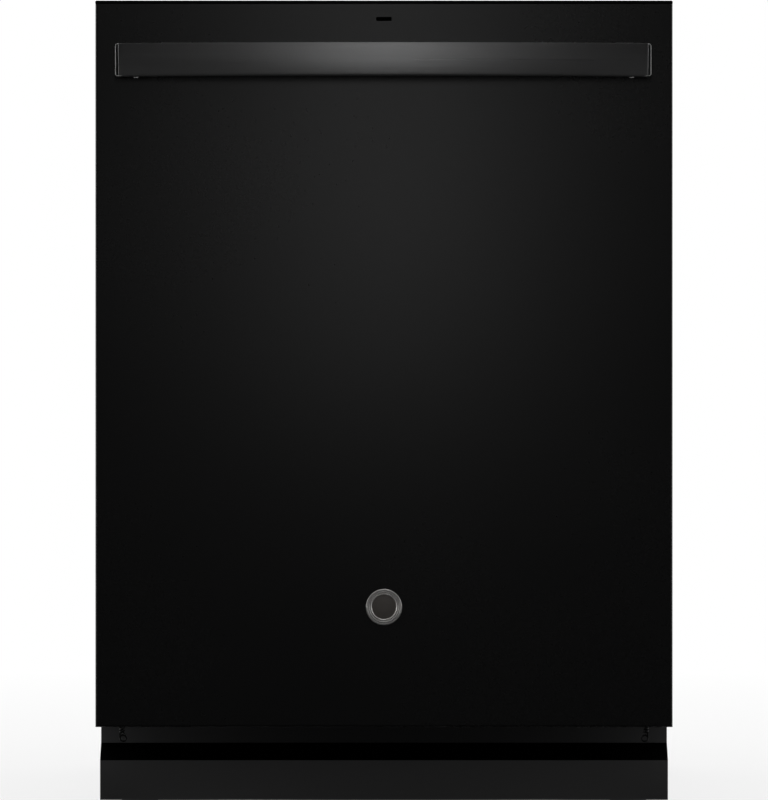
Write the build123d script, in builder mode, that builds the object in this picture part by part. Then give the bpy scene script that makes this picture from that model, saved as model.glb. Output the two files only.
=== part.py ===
"""A built-in dishwasher of the 24-inch class, with its controls on the door's top edge.

Millimetres. X runs to the right as one faces the door, Y from the front to the back
and Z up. The origin lies on the floor under the middle of the machine's box, handle
included, with the door shut and both racks pushed in.
"""

import os
from math import degrees

from build123d import *

os.makedirs("parts", exist_ok=True)

# Overall size, with the feet screwed right in
WIDTH = 603.0
HEIGHT = 848.0
DEPTH = 610.0
HANDLE_REACH = 42.0
FRONT = -(DEPTH - HANDLE_REACH) / 2
BACK = FRONT + DEPTH

# Clearances: a pin in its bearing, pieces set in one another, wires laid on wires
RUNNING = 0.06
FIT = 0.3
WELD = 0.05

# Door
DOOR_BOTTOM = 89.0
DOOR_THICKNESS = 42.0
SHEET = 1.0
PANEL_RETURN = 34.0
PANEL_EDGE = 2.5
CONSOLE_LIP = 3.0
LINER_RETURN = 22.0
FIELD_RISE = 14.0
FIELD_CORNER = 24.0
PANEL_TOP = HEIGHT - CONSOLE_LIP
LINER_BACK = FRONT + DOOR_THICKNESS
FIELD_Y = LINER_BACK + FIELD_RISE
LINER_HALF = WIDTH / 2 - SHEET - FIT

# Hinge line, and the tub floor level with the pressed field of the open door
HINGE_Y = LINER_BACK + 8.0
HINGE_Z = DOOR_BOTTOM + 23.0
HINGE_PIN = 4.0
TUB_FLOOR = HINGE_Z + FIELD_Y - HINGE_Y

# Tub
TUB_HALF = WIDTH / 2 - 33.5
TUB_WALL = 1.2
TUB_FLANGE = 18.0
TUB_CORNER = 25.0
SEAL_ROOM = 9.0
REAR_ROOM = 24.0
DISH_DEPTH = 14.0
TUB_CEILING = HEIGHT - 31.0
TUB_FRONT = LINER_BACK + SEAL_ROOM
TUB_BACK = BACK - REAR_ROOM
TUB_INNER_BACK = TUB_BACK - TUB_WALL
DISH_FLOOR = TUB_FLOOR - DISH_DEPTH
UNDERSIDE = TUB_FLOOR - TUB_WALL
LINER_BOTTOM = HINGE_Z + 1.0
LINER_TOP = TUB_CEILING + 15.0

# Racks
WIRE = 5.0
THIN_WIRE = 4.0
RACK_FRONT = FIELD_Y + 20.0
RACK_BACK = TUB_INNER_BACK - 50.8
RACK_MIDDLE = (RACK_FRONT + RACK_BACK) / 2


def front_plane(y):
    """A sketch plane across the machine at depth y; its Y is up, and it faces the user."""
    return Plane.XZ.offset(-y)


def side_plane(x):
    """A sketch plane along the machine at x; its X runs to the back, its Y is up."""
    return Plane.YZ.offset(x)


def level(z):
    """A level sketch plane at height z."""
    return Plane.XY.offset(z)


def block(x, y, z, mode=Mode.ADD):
    """Adds or cuts a box given by its limits along X, Y and Z."""
    sizes = [limits[1] - limits[0] for limits in (x, y, z)]
    middle = tuple(sum(limits) / 2 for limits in (x, y, z))
    with Locations(middle):
        Box(*sizes, mode=mode)


def rod(plane, points, diameter, length, sides=8):
    """Adds straight rods of one length, standing on a plane at the given points."""
    with BuildSketch(plane) as section:
        with Locations(*points):
            RegularPolygon(diameter / 2, sides, major_radius=False, rotation=180 / sides)
    extrude(section.sketch, amount=length)


def spread(first, last, count):
    """Evenly spaced positions from the first to the last."""
    return [first + (last - first) * step / (count - 1) for step in range(count)]


def write(piece, label):
    """Labels a finished piece and writes its file."""
    piece.part.label = label
    export_step(piece.part, f"parts/{label}.step")


SIDES = (("left", -1), ("right", 1))

# Door panel: a painted sheet tray, open at its back and under the console
STATUS_SIZE = (16.0, 4.2)
STATUS_Z = HEIGHT - 19.4

with BuildPart() as door_panel:
    block((-WIDTH / 2, WIDTH / 2), (FRONT, FRONT + PANEL_RETURN), (DOOR_BOTTOM, PANEL_TOP))
    face = door_panel.faces().sort_by(Axis.Y)[0]
    fillet([edge for edge in face.edges() if edge.center().Z < PANEL_TOP - 1], PANEL_EDGE)
    opened = [door_panel.faces().sort_by(Axis.Y)[-1], door_panel.faces().sort_by(Axis.Z)[-1]]
    offset(amount=-SHEET, openings=opened)
    with BuildSketch(front_plane(FRONT)):
        with Locations((0, STATUS_Z)):
            RectangleRounded(*STATUS_SIZE, 0.8)
    extrude(amount=-2 * SHEET, mode=Mode.SUBTRACT)
write(door_panel, "door_panel")

# Status window: a dark lens set in the slot, with a flange behind the sheet
with BuildPart() as status_window:
    with BuildSketch(front_plane(FRONT + SHEET + FIT)):
        with Locations((0, STATUS_Z)):
            RectangleRounded(STATUS_SIZE[0] + 6, STATUS_SIZE[1] + 6, 2)
    extrude(amount=-2.0)
    with BuildSketch(front_plane(FRONT + 0.4)):
        with Locations((0, STATUS_Z)):
            RectangleRounded(STATUS_SIZE[0] - 0.4, STATUS_SIZE[1] - 0.4, 0.7)
    extrude(amount=-SHEET)
write(status_window, "status_window")

# Badge: a plain stepped disc on the lower part of the door
BADGE_RADIUS = 19.5
BADGE_Z = HEIGHT - 633.4
with BuildPart() as badge:
    with BuildSketch(front_plane(FRONT - 0.05)):
        with Locations((0, BADGE_Z)):
            Circle(BADGE_RADIUS)
    extrude(amount=2.6)
    fillet(badge.edges().sort_by(Axis.Y)[0], 1.0)
    with BuildSketch(front_plane(FRONT - 2.65)):
        with Locations((0, BADGE_Z)):
            Circle(BADGE_RADIUS - 3.0)
            Circle(BADGE_RADIUS - 5.0, mode=Mode.SUBTRACT)
    extrude(amount=-1.2, mode=Mode.SUBTRACT)
write(badge, "badge")

# Handle: a bowed bar between two end brackets that stand on the door
HANDLE_HEIGHT = 36.0
HANDLE_TOP = HEIGHT - 45.5
HANDLE_HALF = WIDTH / 2 - 26.0
HANDLE_BOW = 14.0
BAR_THICKNESS = 9.0
BAR_EDGE = 0.8
CAP_WIDTH = 3.2
CAP_EDGE = 2.4
BAR_END_Y = FRONT - HANDLE_REACH + HANDLE_BOW
BOW_RADIUS = (HANDLE_HALF**2 + HANDLE_BOW**2) / (2 * HANDLE_BOW)

with BuildPart() as handle_bar:
    with BuildSketch(level(HANDLE_TOP - HANDLE_HEIGHT)):
        with Locations((0, FRONT - HANDLE_REACH + BOW_RADIUS)):
            Circle(BOW_RADIUS)
            Circle(BOW_RADIUS - BAR_THICKNESS, mode=Mode.SUBTRACT)
        with Locations((0, FRONT - HANDLE_REACH / 2)):
            Rectangle(2 * HANDLE_HALF, 2 * HANDLE_REACH, mode=Mode.INTERSECT)
    extrude(amount=HANDLE_HEIGHT)
    fillet(handle_bar.faces().sort_by(Axis.Y)[0].edges().filter_by(GeomType.CIRCLE), BAR_EDGE)
write(handle_bar, "handle_bar")

BRACKET_INSET = 26.0
BRACKET_LEDGE = 1.0
BRACKET_BOTTOM = HANDLE_TOP - HANDLE_HEIGHT + BRACKET_LEDGE
with BuildPart() as handle_brackets:
    for name, side in SIDES:
        with BuildSketch(level(BRACKET_BOTTOM)):
            with BuildLine():
                inner = side * (HANDLE_HALF - BRACKET_INSET)
                outer = side * (HANDLE_HALF + CAP_WIDTH)
                rear = BAR_END_Y + BAR_THICKNESS + FIT
                Polyline(
                    (inner, FRONT - FIT / 2),
                    (outer, FRONT - FIT / 2),
                    (outer, BAR_END_Y),
                    (side * (HANDLE_HALF + FIT), BAR_END_Y),
                    (side * (HANDLE_HALF + FIT), rear),
                    (inner, rear - 2 * HANDLE_BOW * BRACKET_INSET / HANDLE_HALF),
                    close=True,
                )
            make_face()
        extrude(amount=HANDLE_HEIGHT - 2 * BRACKET_LEDGE)
    lengthwise = handle_brackets.edges().filter_by(Axis.Y)
    fillet([edge for edge in lengthwise if abs(edge.center().X) > HANDLE_HALF + 1], CAP_EDGE)
    upright = handle_brackets.edges().filter_by(Axis.Z).filter_by_position(Axis.Y, BAR_END_Y - 1, BAR_END_Y + 1)
    fillet([edge for edge in upright if abs(edge.center().X) > HANDLE_HALF + 1], BAR_EDGE)
write(handle_brackets, "handle_brackets")

# Set screws that lock the bar to its brackets from below
SET_SCREW_X = HANDLE_HALF - 17.5
SET_SCREW_Y = FRONT - HANDLE_REACH / 3
SET_SCREW = 2.6
with BuildPart() as handle_set_screws:
    with BuildSketch(level(BRACKET_BOTTOM - WELD)):
        with Locations((-SET_SCREW_X, SET_SCREW_Y), (SET_SCREW_X, SET_SCREW_Y)):
            Circle(SET_SCREW)
            RegularPolygon(SET_SCREW / 2, 6, mode=Mode.SUBTRACT)
    extrude(amount=-1.2)
write(handle_set_screws, "handle_set_screws")

# Control console: a moulded cap along the door's top edge, hollow below
CONSOLE_BACK = LINER_BACK + 2.0
CONSOLE_WALL = 2.5
CONSOLE_DROP = 34.0
CONSOLE_Y = FRONT + SHEET + FIT
TRAY_BACK = LINER_BACK - SHEET - 1.0
KEY_SIZE = (34.0, 13.0)
KEY_Y = (FRONT + CONSOLE_BACK) / 2
KEY_SPOTS = {"start": 230.0, "cycle": -230.0, "heat": -180.0, "dry": -130.0, "delay": 130.0}
LENS_SIZE = (90.0, 14.0)
LATCH_HALF = 34.0
LATCH_Z = HEIGHT - 9.5
with BuildPart() as control_console:
    block((-WIDTH / 2, WIDTH / 2), (FRONT, CONSOLE_BACK), (PANEL_TOP + FIT / 2, HEIGHT))
    fillet(control_console.faces().sort_by(Axis.Z)[-1].edges(), 1.8)
    block((1 - LINER_HALF, LINER_HALF - 1), (CONSOLE_Y, CONSOLE_BACK), (LINER_TOP + FIT, PANEL_TOP + 1))
    block((2 - LINER_HALF, LINER_HALF - 2), (CONSOLE_Y, TRAY_BACK), (HEIGHT - CONSOLE_DROP, PANEL_TOP))
    block(
        (CONSOLE_WALL + 2 - LINER_HALF, LINER_HALF - CONSOLE_WALL - 2),
        (CONSOLE_Y + CONSOLE_WALL, TRAY_BACK - CONSOLE_WALL),
        (HEIGHT - CONSOLE_DROP - 1, PANEL_TOP),
        mode=Mode.SUBTRACT,
    )
    with BuildSketch(level(HEIGHT)):
        with Locations(*[(x, KEY_Y) for x in KEY_SPOTS.values()]):
            RectangleRounded(KEY_SIZE[0] + 2 * FIT, KEY_SIZE[1] + 2 * FIT, 3)
        with Locations((0, KEY_Y)):
            RectangleRounded(LENS_SIZE[0] + 2 * FIT, LENS_SIZE[1] + 2 * FIT, 2)
    extrude(amount=-CONSOLE_LIP - 1, mode=Mode.SUBTRACT)
    block(
        (-LATCH_HALF, LATCH_HALF),
        (TRAY_BACK - CONSOLE_WALL - 1, CONSOLE_BACK + 1),
        (LATCH_Z - 6, LATCH_Z + 6),
        mode=Mode.SUBTRACT,
    )
    block(
        (-STATUS_SIZE[0], STATUS_SIZE[0]),
        (CONSOLE_Y - 1, CONSOLE_Y + CONSOLE_WALL + 1),
        (STATUS_Z - 2 * STATUS_SIZE[1], STATUS_Z + 2 * STATUS_SIZE[1]),
        mode=Mode.SUBTRACT,
    )
write(control_console, "control_console")

# Keys: each presses down on the board, held from below by its flange
KEY_TRAVEL = 1.0
for name, x in KEY_SPOTS.items():
    with BuildPart() as key:
        with BuildSketch(level(PANEL_TOP - FIT)):
            with Locations((x, KEY_Y)):
                Rectangle(KEY_SIZE[0] + 5, KEY_SIZE[1] + 5)
        extrude(amount=-1.8)
        with BuildSketch(level(PANEL_TOP - 1)):
            with Locations((x, KEY_Y)):
                RectangleRounded(*KEY_SIZE, 2.7)
        extrude(amount=CONSOLE_LIP + 0.7)
        fillet(key.faces().sort_by(Axis.Z)[-1].edges(), 0.6)
    write(key, f"{name}_key")

# Display lens, and the control board that carries the key switches
BOARD_Z = PANEL_TOP - FIT - 1.8 - KEY_TRAVEL - FIT
with BuildPart() as display_lens:
    with BuildSketch(level(PANEL_TOP - FIT)):
        with Locations((0, KEY_Y)):
            Rectangle(LENS_SIZE[0] + 6, LENS_SIZE[1] + 6)
    extrude(amount=-1.5)
    with BuildSketch(level(PANEL_TOP - 1)):
        with Locations((0, KEY_Y)):
            RectangleRounded(*LENS_SIZE, 1.8)
    extrude(amount=CONSOLE_LIP + 0.8)
write(display_lens, "display_lens")

with BuildPart() as control_board:
    block(
        (CONSOLE_WALL + 2 + FIT - LINER_HALF, LINER_HALF - CONSOLE_WALL - 2 - FIT),
        (CONSOLE_Y + CONSOLE_WALL + FIT, TRAY_BACK - CONSOLE_WALL - FIT),
        (BOARD_Z - 5.6, BOARD_Z - 4),
    )
    for x in KEY_SPOTS.values():
        block((x - 3, x + 3), (KEY_Y - 3, KEY_Y + 3), (BOARD_Z - 4, BOARD_Z))
    block((-40, 40), (KEY_Y - 8, KEY_Y + 4), (BOARD_Z - 4, BOARD_Z - 1))
    block((150, 190), (KEY_Y - 8, KEY_Y + 8), (BOARD_Z - 18, BOARD_Z - 5.6))
    block(
        (-LATCH_HALF - 1, LATCH_HALF + 1),
        (TRAY_BACK - 8, TRAY_BACK),
        (BOARD_Z - 6, BOARD_Z),
        mode=Mode.SUBTRACT,
    )
write(control_board, "control_board")

# Door liner: a pressed steel pan whose raised field closes the tub
DISPENSER_X = (-80.0, 80.0)
DISPENSER_Z = (TUB_FLOOR + 252.0, TUB_FLOOR + 382.0)
DISPENSER_RIM = 8.0
VENT_X = TUB_HALF - 98.0
VENT_Z = TUB_CEILING - 102.0
VENT_RADIUS = 36.0
FIELD_INSET = 8.0
FIELD_SLOPE = 6.0
BEAD_WIDTH = 16.0
BEAD_RISE = 2.0
BEAD_INSET = 60.0
BEAD_GAP = 90.0

# Base rails' outer faces, and the hinge arms just inside them
RAIL_OUTER = WIDTH / 2 - 5.5
ARM_GAP = 0.6
ARM_X = (RAIL_OUTER - ARM_GAP - 3.0, RAIL_OUTER - ARM_GAP)


def liner_form(inset):
    """The pan with its pressed field, drawn in by the inset for the inner surface."""
    with BuildPart() as form:
        block(
            (inset - LINER_HALF, LINER_HALF - inset),
            (LINER_BACK - LINER_RETURN - 5 * inset, LINER_BACK - inset),
            (LINER_BOTTOM + inset, LINER_TOP - inset),
        )
        with BuildSketch(front_plane(LINER_BACK - inset)):
            with Locations((0, (TUB_FLOOR + TUB_CEILING) / 2)):
                wide = 2 * (TUB_HALF - FIELD_INSET - inset)
                tall = TUB_CEILING - TUB_FLOOR - 2 * (FIELD_INSET + inset)
                RectangleRounded(wide, tall, FIELD_CORNER - inset)
        extrude(amount=-FIELD_RISE)
        chamfer(form.faces().sort_by(Axis.Y)[-1].edges(), FIELD_SLOPE)
        with BuildSketch(front_plane(FIELD_Y - inset)):
            with Locations((0, DISPENSER_Z[0] - BEAD_GAP), (0, DISPENSER_Z[1] + BEAD_GAP)):
                SlotOverall(2 * (TUB_HALF - BEAD_INSET - inset), BEAD_WIDTH - 2 * inset)
        extrude(amount=-BEAD_RISE)
    return form.part


with BuildPart() as door_liner:
    add(liner_form(0))
    add(liner_form(SHEET), mode=Mode.SUBTRACT)
    block(
        (DISPENSER_X[0] + DISPENSER_RIM, DISPENSER_X[1] - DISPENSER_RIM),
        (FIELD_Y - 5, FIELD_Y + 5),
        (DISPENSER_Z[0] + DISPENSER_RIM, DISPENSER_Z[1] - DISPENSER_RIM),
        mode=Mode.SUBTRACT,
    )
    with BuildSketch(front_plane(FIELD_Y + 1)):
        with Locations((VENT_X, VENT_Z)):
            Circle(VENT_RADIUS)
    extrude(amount=4, mode=Mode.SUBTRACT)
    for name, side in SIDES:
        block(
            sorted((side * (ARM_X[0] - ARM_GAP), side * (ARM_X[1] + ARM_GAP))),
            (LINER_BACK - LINER_RETURN, LINER_BACK + 1),
            (LINER_BOTTOM - 1, LINER_BOTTOM + 6),
            mode=Mode.SUBTRACT,
        )
    block(
        (2 * SHEET - LINER_HALF, LINER_HALF - 2 * SHEET),
        (LINER_BACK - LINER_RETURN - 1, LINER_BACK - SHEET),
        (LINER_TOP - 2 * SHEET, LINER_TOP + 1),
        mode=Mode.SUBTRACT,
    )
write(door_liner, "door_liner")

# Screws that clamp the liner's rim to the panel
with BuildPart() as liner_screws:
    heights = spread(HINGE_Z + 130, LINER_TOP - 40, 4)
    with BuildSketch(front_plane(LINER_BACK + WELD)):
        with Locations(*[(side * (LINER_HALF - 7), z) for name, side in SIDES for z in heights]):
            Circle(4.0)
    extrude(amount=-1.6)
write(liner_screws, "liner_screws")

# Dispenser: a moulded plate set in the liner, with the detergent cup and the rinse-aid well
PLATE_FACE = FIELD_Y + 5.0
CUP_X = (DISPENSER_X[0] + 16.0, -4.0)
CUP_Z = (DISPENSER_Z[1] - 64.0, DISPENSER_Z[1] - 10.0)
CUP_DEPTH = 24.0
COVER_LAP = 4.0
COVER_THICKNESS = 3.0
COVER_FACE = PLATE_FACE + FIT + COVER_THICKNESS
RINSE_X = DISPENSER_X[1] - 38.0
RINSE_Z = (CUP_Z[0] + CUP_Z[1]) / 2
RINSE_RADIUS = 19.0
RINSE_PIN = 7.0
with BuildPart() as dispenser_body:
    block(DISPENSER_X, (FIELD_Y + WELD, PLATE_FACE), DISPENSER_Z)
    block(
        (DISPENSER_X[0] + DISPENSER_RIM + FIT, DISPENSER_X[1] - DISPENSER_RIM - FIT),
        (FIELD_Y - CUP_DEPTH, PLATE_FACE),
        (DISPENSER_Z[0] + DISPENSER_RIM + FIT, DISPENSER_Z[1] - DISPENSER_RIM - FIT),
    )
    block(CUP_X, (PLATE_FACE - CUP_DEPTH, PLATE_FACE + 1), CUP_Z, mode=Mode.SUBTRACT)
    for x in (CUP_X[0] - COVER_LAP - FIT, CUP_X[1] + COVER_LAP + FIT):
        rib = (x - 4, x) if x < CUP_X[0] else (x, x + 4)
        block(rib, (PLATE_FACE - 1, COVER_FACE), (DISPENSER_Z[0] + 4, DISPENSER_Z[1] - 4))
    with BuildSketch(front_plane(PLATE_FACE + 1)):
        with Locations((RINSE_X, RINSE_Z)):
            Circle(RINSE_PIN + RUNNING)
    extrude(amount=12, mode=Mode.SUBTRACT)
write(dispenser_body, "dispenser_body")

with BuildPart() as dispenser_cover:
    block(
        (CUP_X[0] - COVER_LAP, CUP_X[1] + COVER_LAP),
        (PLATE_FACE + FIT, COVER_FACE),
        (CUP_Z[0] - COVER_LAP, CUP_Z[1] + COVER_LAP),
    )
    grip = (CUP_X[0] + 12, CUP_X[1] - 12)
    block(grip, (PLATE_FACE + FIT, COVER_FACE + 2.5), (CUP_Z[0] + 6, CUP_Z[0] + 10))
write(dispenser_cover, "dispenser_cover")

with BuildPart() as rinse_aid_cap:
    with BuildSketch(front_plane(PLATE_FACE + FIT)):
        with Locations((RINSE_X, RINSE_Z)):
            Circle(RINSE_RADIUS)
    extrude(amount=-3)
    grip = (RINSE_X - 14, RINSE_X + 14)
    block(grip, (PLATE_FACE + 3, PLATE_FACE + 6.5), (RINSE_Z - 2.5, RINSE_Z + 2.5))
    with BuildSketch(front_plane(PLATE_FACE + 1)):
        with Locations((RINSE_X, RINSE_Z)):
            Circle(RINSE_PIN)
    extrude(amount=11)
write(rinse_aid_cap, "rinse_aid_cap")

# Vent cover: a slatted moulding over the drying vent
with BuildPart() as vent_cover:
    with BuildSketch(front_plane(FIELD_Y + WELD)):
        with Locations((VENT_X, VENT_Z)):
            Circle(VENT_RADIUS + 8)
    extrude(amount=-5)
    fillet(vent_cover.edges().sort_by(Axis.Y)[-1], 2.0)
    with BuildSketch(front_plane(FIELD_Y + 6)):
        with Locations(*[(VENT_X, VENT_Z + dz) for dz in spread(-22, 22, 4)]):
            SlotOverall(46, 6)
    extrude(amount=7, mode=Mode.SUBTRACT)
write(vent_cover, "vent_cover")

# Latch in the console, with the slot that takes the strike on the tub
STRIKE_HALF = 14.0
STRIKE_Z = (LATCH_Z - 1.5, LATCH_Z + 1.5)
STRIKE_REACH = 10.0
with BuildPart() as door_latch:
    block(
        (FIT - LATCH_HALF, LATCH_HALF - FIT),
        (TRAY_BACK - 7, CONSOLE_BACK - 0.5),
        (LATCH_Z - 6 + FIT, LATCH_Z + 6 - FIT),
    )
    block(
        (-STRIKE_HALF - 1, STRIKE_HALF + 1),
        (CONSOLE_BACK - STRIKE_REACH - 2, CONSOLE_BACK + 1),
        (STRIKE_Z[0] - 1, STRIKE_Z[1] + 1),
        mode=Mode.SUBTRACT,
    )
write(door_latch, "door_latch")

with BuildPart() as latch_strike:
    block((-30, 30), (TUB_FRONT - 2 - WELD, TUB_FRONT - WELD), (LATCH_Z - 10, LATCH_Z + 6))
    block((-STRIKE_HALF, STRIKE_HALF), (CONSOLE_BACK - STRIKE_REACH, TUB_FRONT - 1), STRIKE_Z)
    block(
        (5 - STRIKE_HALF, STRIKE_HALF - 5),
        (CONSOLE_BACK - STRIKE_REACH + 3, CONSOLE_BACK - 1),
        (STRIKE_Z[0] - 1, STRIKE_Z[1] + 1),
        mode=Mode.SUBTRACT,
    )
write(latch_strike, "latch_strike")

# Hinge arms: steel plates in the door's lower corners, each with a tail for its balance spring
TAIL_Y = HINGE_Y + 30.0
TAIL_Z = HINGE_Z - 12.0
TAIL_PIN = 3.0
SPRING_X = ARM_X[0] - 7.4
LOOP_X = ARM_X[0] - 15.2
LIMB_Y = LINER_BACK - SHEET - FIT - 8.0
for name, side in SIDES:
    with BuildPart() as hinge_arm:
        inner = side * ARM_X[0]
        thickness = side * (ARM_X[1] - ARM_X[0])
        with BuildSketch(side_plane(inner)):
            with Locations((LIMB_Y, HINGE_Z - 8)):
                Circle(6.5)
            with Locations((HINGE_Y, HINGE_Z)):
                Circle(HINGE_PIN + 3)
            with Locations((HINGE_Y, HINGE_Z - 8)):
                Circle(6)
            make_hull()
        extrude(amount=thickness)
        with BuildSketch(side_plane(inner)):
            with Locations((HINGE_Y, HINGE_Z)):
                Circle(HINGE_PIN + 3)
            with Locations((TAIL_Y, TAIL_Z)):
                Circle(TAIL_PIN + 3)
            make_hull()
        extrude(amount=thickness)
        with BuildSketch(side_plane(inner)):
            with Locations((LIMB_Y, HINGE_Z + 44)):
                Rectangle(13, 104)
        extrude(amount=thickness)
        with BuildSketch(side_plane(inner)):
            with Locations((HINGE_Y, HINGE_Z)):
                Circle(HINGE_PIN + RUNNING)
        extrude(amount=thickness, mode=Mode.SUBTRACT)
        with BuildSketch(side_plane(side * (LOOP_X - 6))):
            with Locations((TAIL_Y, TAIL_Z)):
                Circle(TAIL_PIN)
        extrude(amount=side * (ARM_X[0] - LOOP_X + 7))
    write(hinge_arm, f"hinge_arm_{name}")

# Pull loops: wire eyes that hang from the tail pins, in sight under the door
LOOP_Z = DOOR_BOTTOM - 17.5
LOOP_RADIUS = 4.1
LOOP_WIRE = 1.7
with BuildPart() as pull_loops:
    for name, side in SIDES:
        with BuildSketch(side_plane(side * (LOOP_X - 3))):
            with Locations((TAIL_Y, TAIL_Z)):
                Circle(TAIL_PIN + 2)
        extrude(amount=side * 6)
        stem_x = side * (LOOP_X + LOOP_RADIUS - LOOP_WIRE)
        rod(level(LOOP_Z), [(stem_x, TAIL_Y)], LOOP_WIRE, TAIL_Z - TAIL_PIN - 1 - LOOP_Z, sides=6)
        with BuildSketch(front_plane(TAIL_Y - LOOP_WIRE / 2)):
            with Locations((side * LOOP_X, LOOP_Z)):
                Circle(LOOP_RADIUS)
                Circle(LOOP_RADIUS - LOOP_WIRE, mode=Mode.SUBTRACT)
        extrude(amount=-LOOP_WIRE)
        with BuildSketch(side_plane(side * (LOOP_X - 4))):
            with Locations((TAIL_Y, TAIL_Z)):
                Circle(TAIL_PIN + RUNNING)
        extrude(amount=side * 8, mode=Mode.SUBTRACT)
write(pull_loops, "pull_loops")

# Base: two rails that carry the tub, a rear rail and four screw feet, behind a recessed front
KICK_RECESS = 80.0
KICK_BEVEL = (18.0, 16.5)
KICK_SHEET = 1.2
ACCESS_Y = FRONT + KICK_RECESS + KICK_BEVEL[0]
RAIL_SHEET = 1.5
RAIL_BOTTOM = 40.0
RAIL_FRONT = ACCESS_Y + KICK_SHEET + FIT
RAIL_BACK = BACK - 12.0
UPPER_FLANGE = 71.0
LOWER_FLANGE = 58.0
FOOT_X = RAIL_OUTER - 34.0
FOOT_SPOTS = (RAIL_FRONT + 34.5, RAIL_BACK - 39.0)
STUD = 5.0
SPRING_BACK = RAIL_FRONT + 259.5
for name, side in SIDES:
    with BuildPart() as base_rail:
        for x, z in (
            ((RAIL_OUTER - RAIL_SHEET, RAIL_OUTER), (RAIL_BOTTOM, UNDERSIDE)),
            ((RAIL_OUTER - UPPER_FLANGE, RAIL_OUTER), (UNDERSIDE - RAIL_SHEET, UNDERSIDE)),
            ((RAIL_OUTER - LOWER_FLANGE, RAIL_OUTER), (RAIL_BOTTOM, RAIL_BOTTOM + RAIL_SHEET)),
        ):
            block(sorted(side * edge for edge in x), (RAIL_FRONT, RAIL_BACK), z)
        tab = sorted(side * edge for edge in (SPRING_X - 6, SPRING_X + 6))
        block(tab, (SPRING_BACK, SPRING_BACK + 2), (TAIL_Z - 8, UNDERSIDE - 1))
        with BuildSketch(level(RAIL_BOTTOM)):
            with Locations(*[(side * FOOT_X, y) for y in FOOT_SPOTS]):
                Circle(STUD + FIT)
        extrude(amount=RAIL_SHEET, mode=Mode.SUBTRACT)
    write(base_rail, f"base_rail_{name}")

with BuildPart() as rear_rail:
    block((-RAIL_OUTER, RAIL_OUTER), (BACK - RAIL_SHEET, BACK), (RAIL_BOTTOM, UNDERSIDE))
    for z in (RAIL_BOTTOM, UNDERSIDE - RAIL_SHEET):
        block((-RAIL_OUTER, RAIL_OUTER), (RAIL_BACK + WELD, BACK), (z, z + RAIL_SHEET))
write(rear_rail, "rear_rail")

with BuildPart() as levelling_feet:
    spots = [(side * FOOT_X, y) for name, side in SIDES for y in FOOT_SPOTS]
    for radius, z in ((20.0, (0.0, 9.0)), (STUD, (8.0, RAIL_BOTTOM + 34))):
        with BuildSketch(level(z[0])):
            with Locations(*spots):
                Circle(radius)
        extrude(amount=z[1] - z[0])
    with BuildSketch(level(RAIL_BOTTOM - WELD)):
        with Locations(*spots):
            RegularPolygon(9.0, 6)
    extrude(amount=-8)
write(levelling_feet, "levelling_feet")

# Hinge brackets on the rails' outer faces, each with its riveted hinge pin
BRACKET_X = (RAIL_OUTER, RAIL_OUTER + 3.0)
for name, side in SIDES:
    with BuildPart() as hinge_bracket:
        with BuildSketch(side_plane(side * (BRACKET_X[0] + WELD))):
            with Locations((HINGE_Y, HINGE_Z)):
                Circle(7)
            with Locations((RAIL_FRONT + 25, UNDERSIDE - 13)):
                Rectangle(40, 26)
            make_hull()
        extrude(amount=side * (BRACKET_X[1] - BRACKET_X[0]))
        with BuildSketch(side_plane(side * (ARM_X[0] - 1))):
            with Locations((HINGE_Y, HINGE_Z)):
                Circle(HINGE_PIN)
        extrude(amount=side * (BRACKET_X[1] - ARM_X[0]))
    write(hinge_bracket, f"hinge_bracket_{name}")

# Balance springs: coils along the rails, hooked to the hinge arms' tail pins
with BuildPart() as balance_springs:
    for name, side in SIDES:
        with BuildSketch(front_plane(RAIL_FRONT + 18)):
            with Locations((side * SPRING_X, TAIL_Z)):
                Circle(5.0)
        extrude(amount=-(SPRING_BACK - RAIL_FRONT - 30))
        start = TAIL_Y + TAIL_PIN + 4 * FIT
        rod(front_plane(start), [(side * SPRING_X, TAIL_Z)], 2.4, start - SPRING_BACK + FIT, sides=6)
write(balance_springs, "balance_springs")

# Access panel and toe kick: bent sheets that close the base under the door
KICK_FOOT = 6.0
KICK_TOP = 48.5
ACCESS_TOP = DOOR_BOTTOM - 1.0
with BuildPart() as access_panel:
    with BuildSketch(side_plane(-WIDTH / 2)):
        with BuildLine():
            middle = ACCESS_Y + KICK_SHEET / 2
            Polyline((middle, RAIL_BOTTOM + 2), (middle, ACCESS_TOP), (middle + 11.4, ACCESS_TOP))
        trace(line_width=KICK_SHEET)
    extrude(amount=WIDTH)
    for name, side in SIDES:
        slot = sorted(side * edge for edge in (RAIL_OUTER - 60, WIDTH / 2))
        block(slot, (RAIL_FRONT - FIT, RAIL_FRONT + 40), (30, ACCESS_TOP + 4), mode=Mode.SUBTRACT)
write(access_panel, "access_panel")

with BuildPart() as toe_kick:
    with BuildSketch(side_plane(-WIDTH / 2)):
        with BuildLine():
            middle = FRONT + KICK_RECESS + KICK_SHEET / 2
            foot = KICK_FOOT + KICK_SHEET / 2
            bevel_end = (ACCESS_Y - KICK_SHEET / 2, KICK_TOP + KICK_BEVEL[1])
            Polyline((middle + 14, foot), (middle, foot), (middle, KICK_TOP), bevel_end)
        trace(line_width=KICK_SHEET)
    extrude(amount=WIDTH)
write(toe_kick, "toe_kick")


# Tub: a deep-drawn steel box with rounded corners and a dished floor
FLOOR_CORNER = 10.0
DISH_INSET = (72.0, 52.0)
DISH_CORNER = 60.0
DISH_SLOPE = 55.0
WALL_BEADS = (240.0, 300.0, 430.0)


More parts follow.
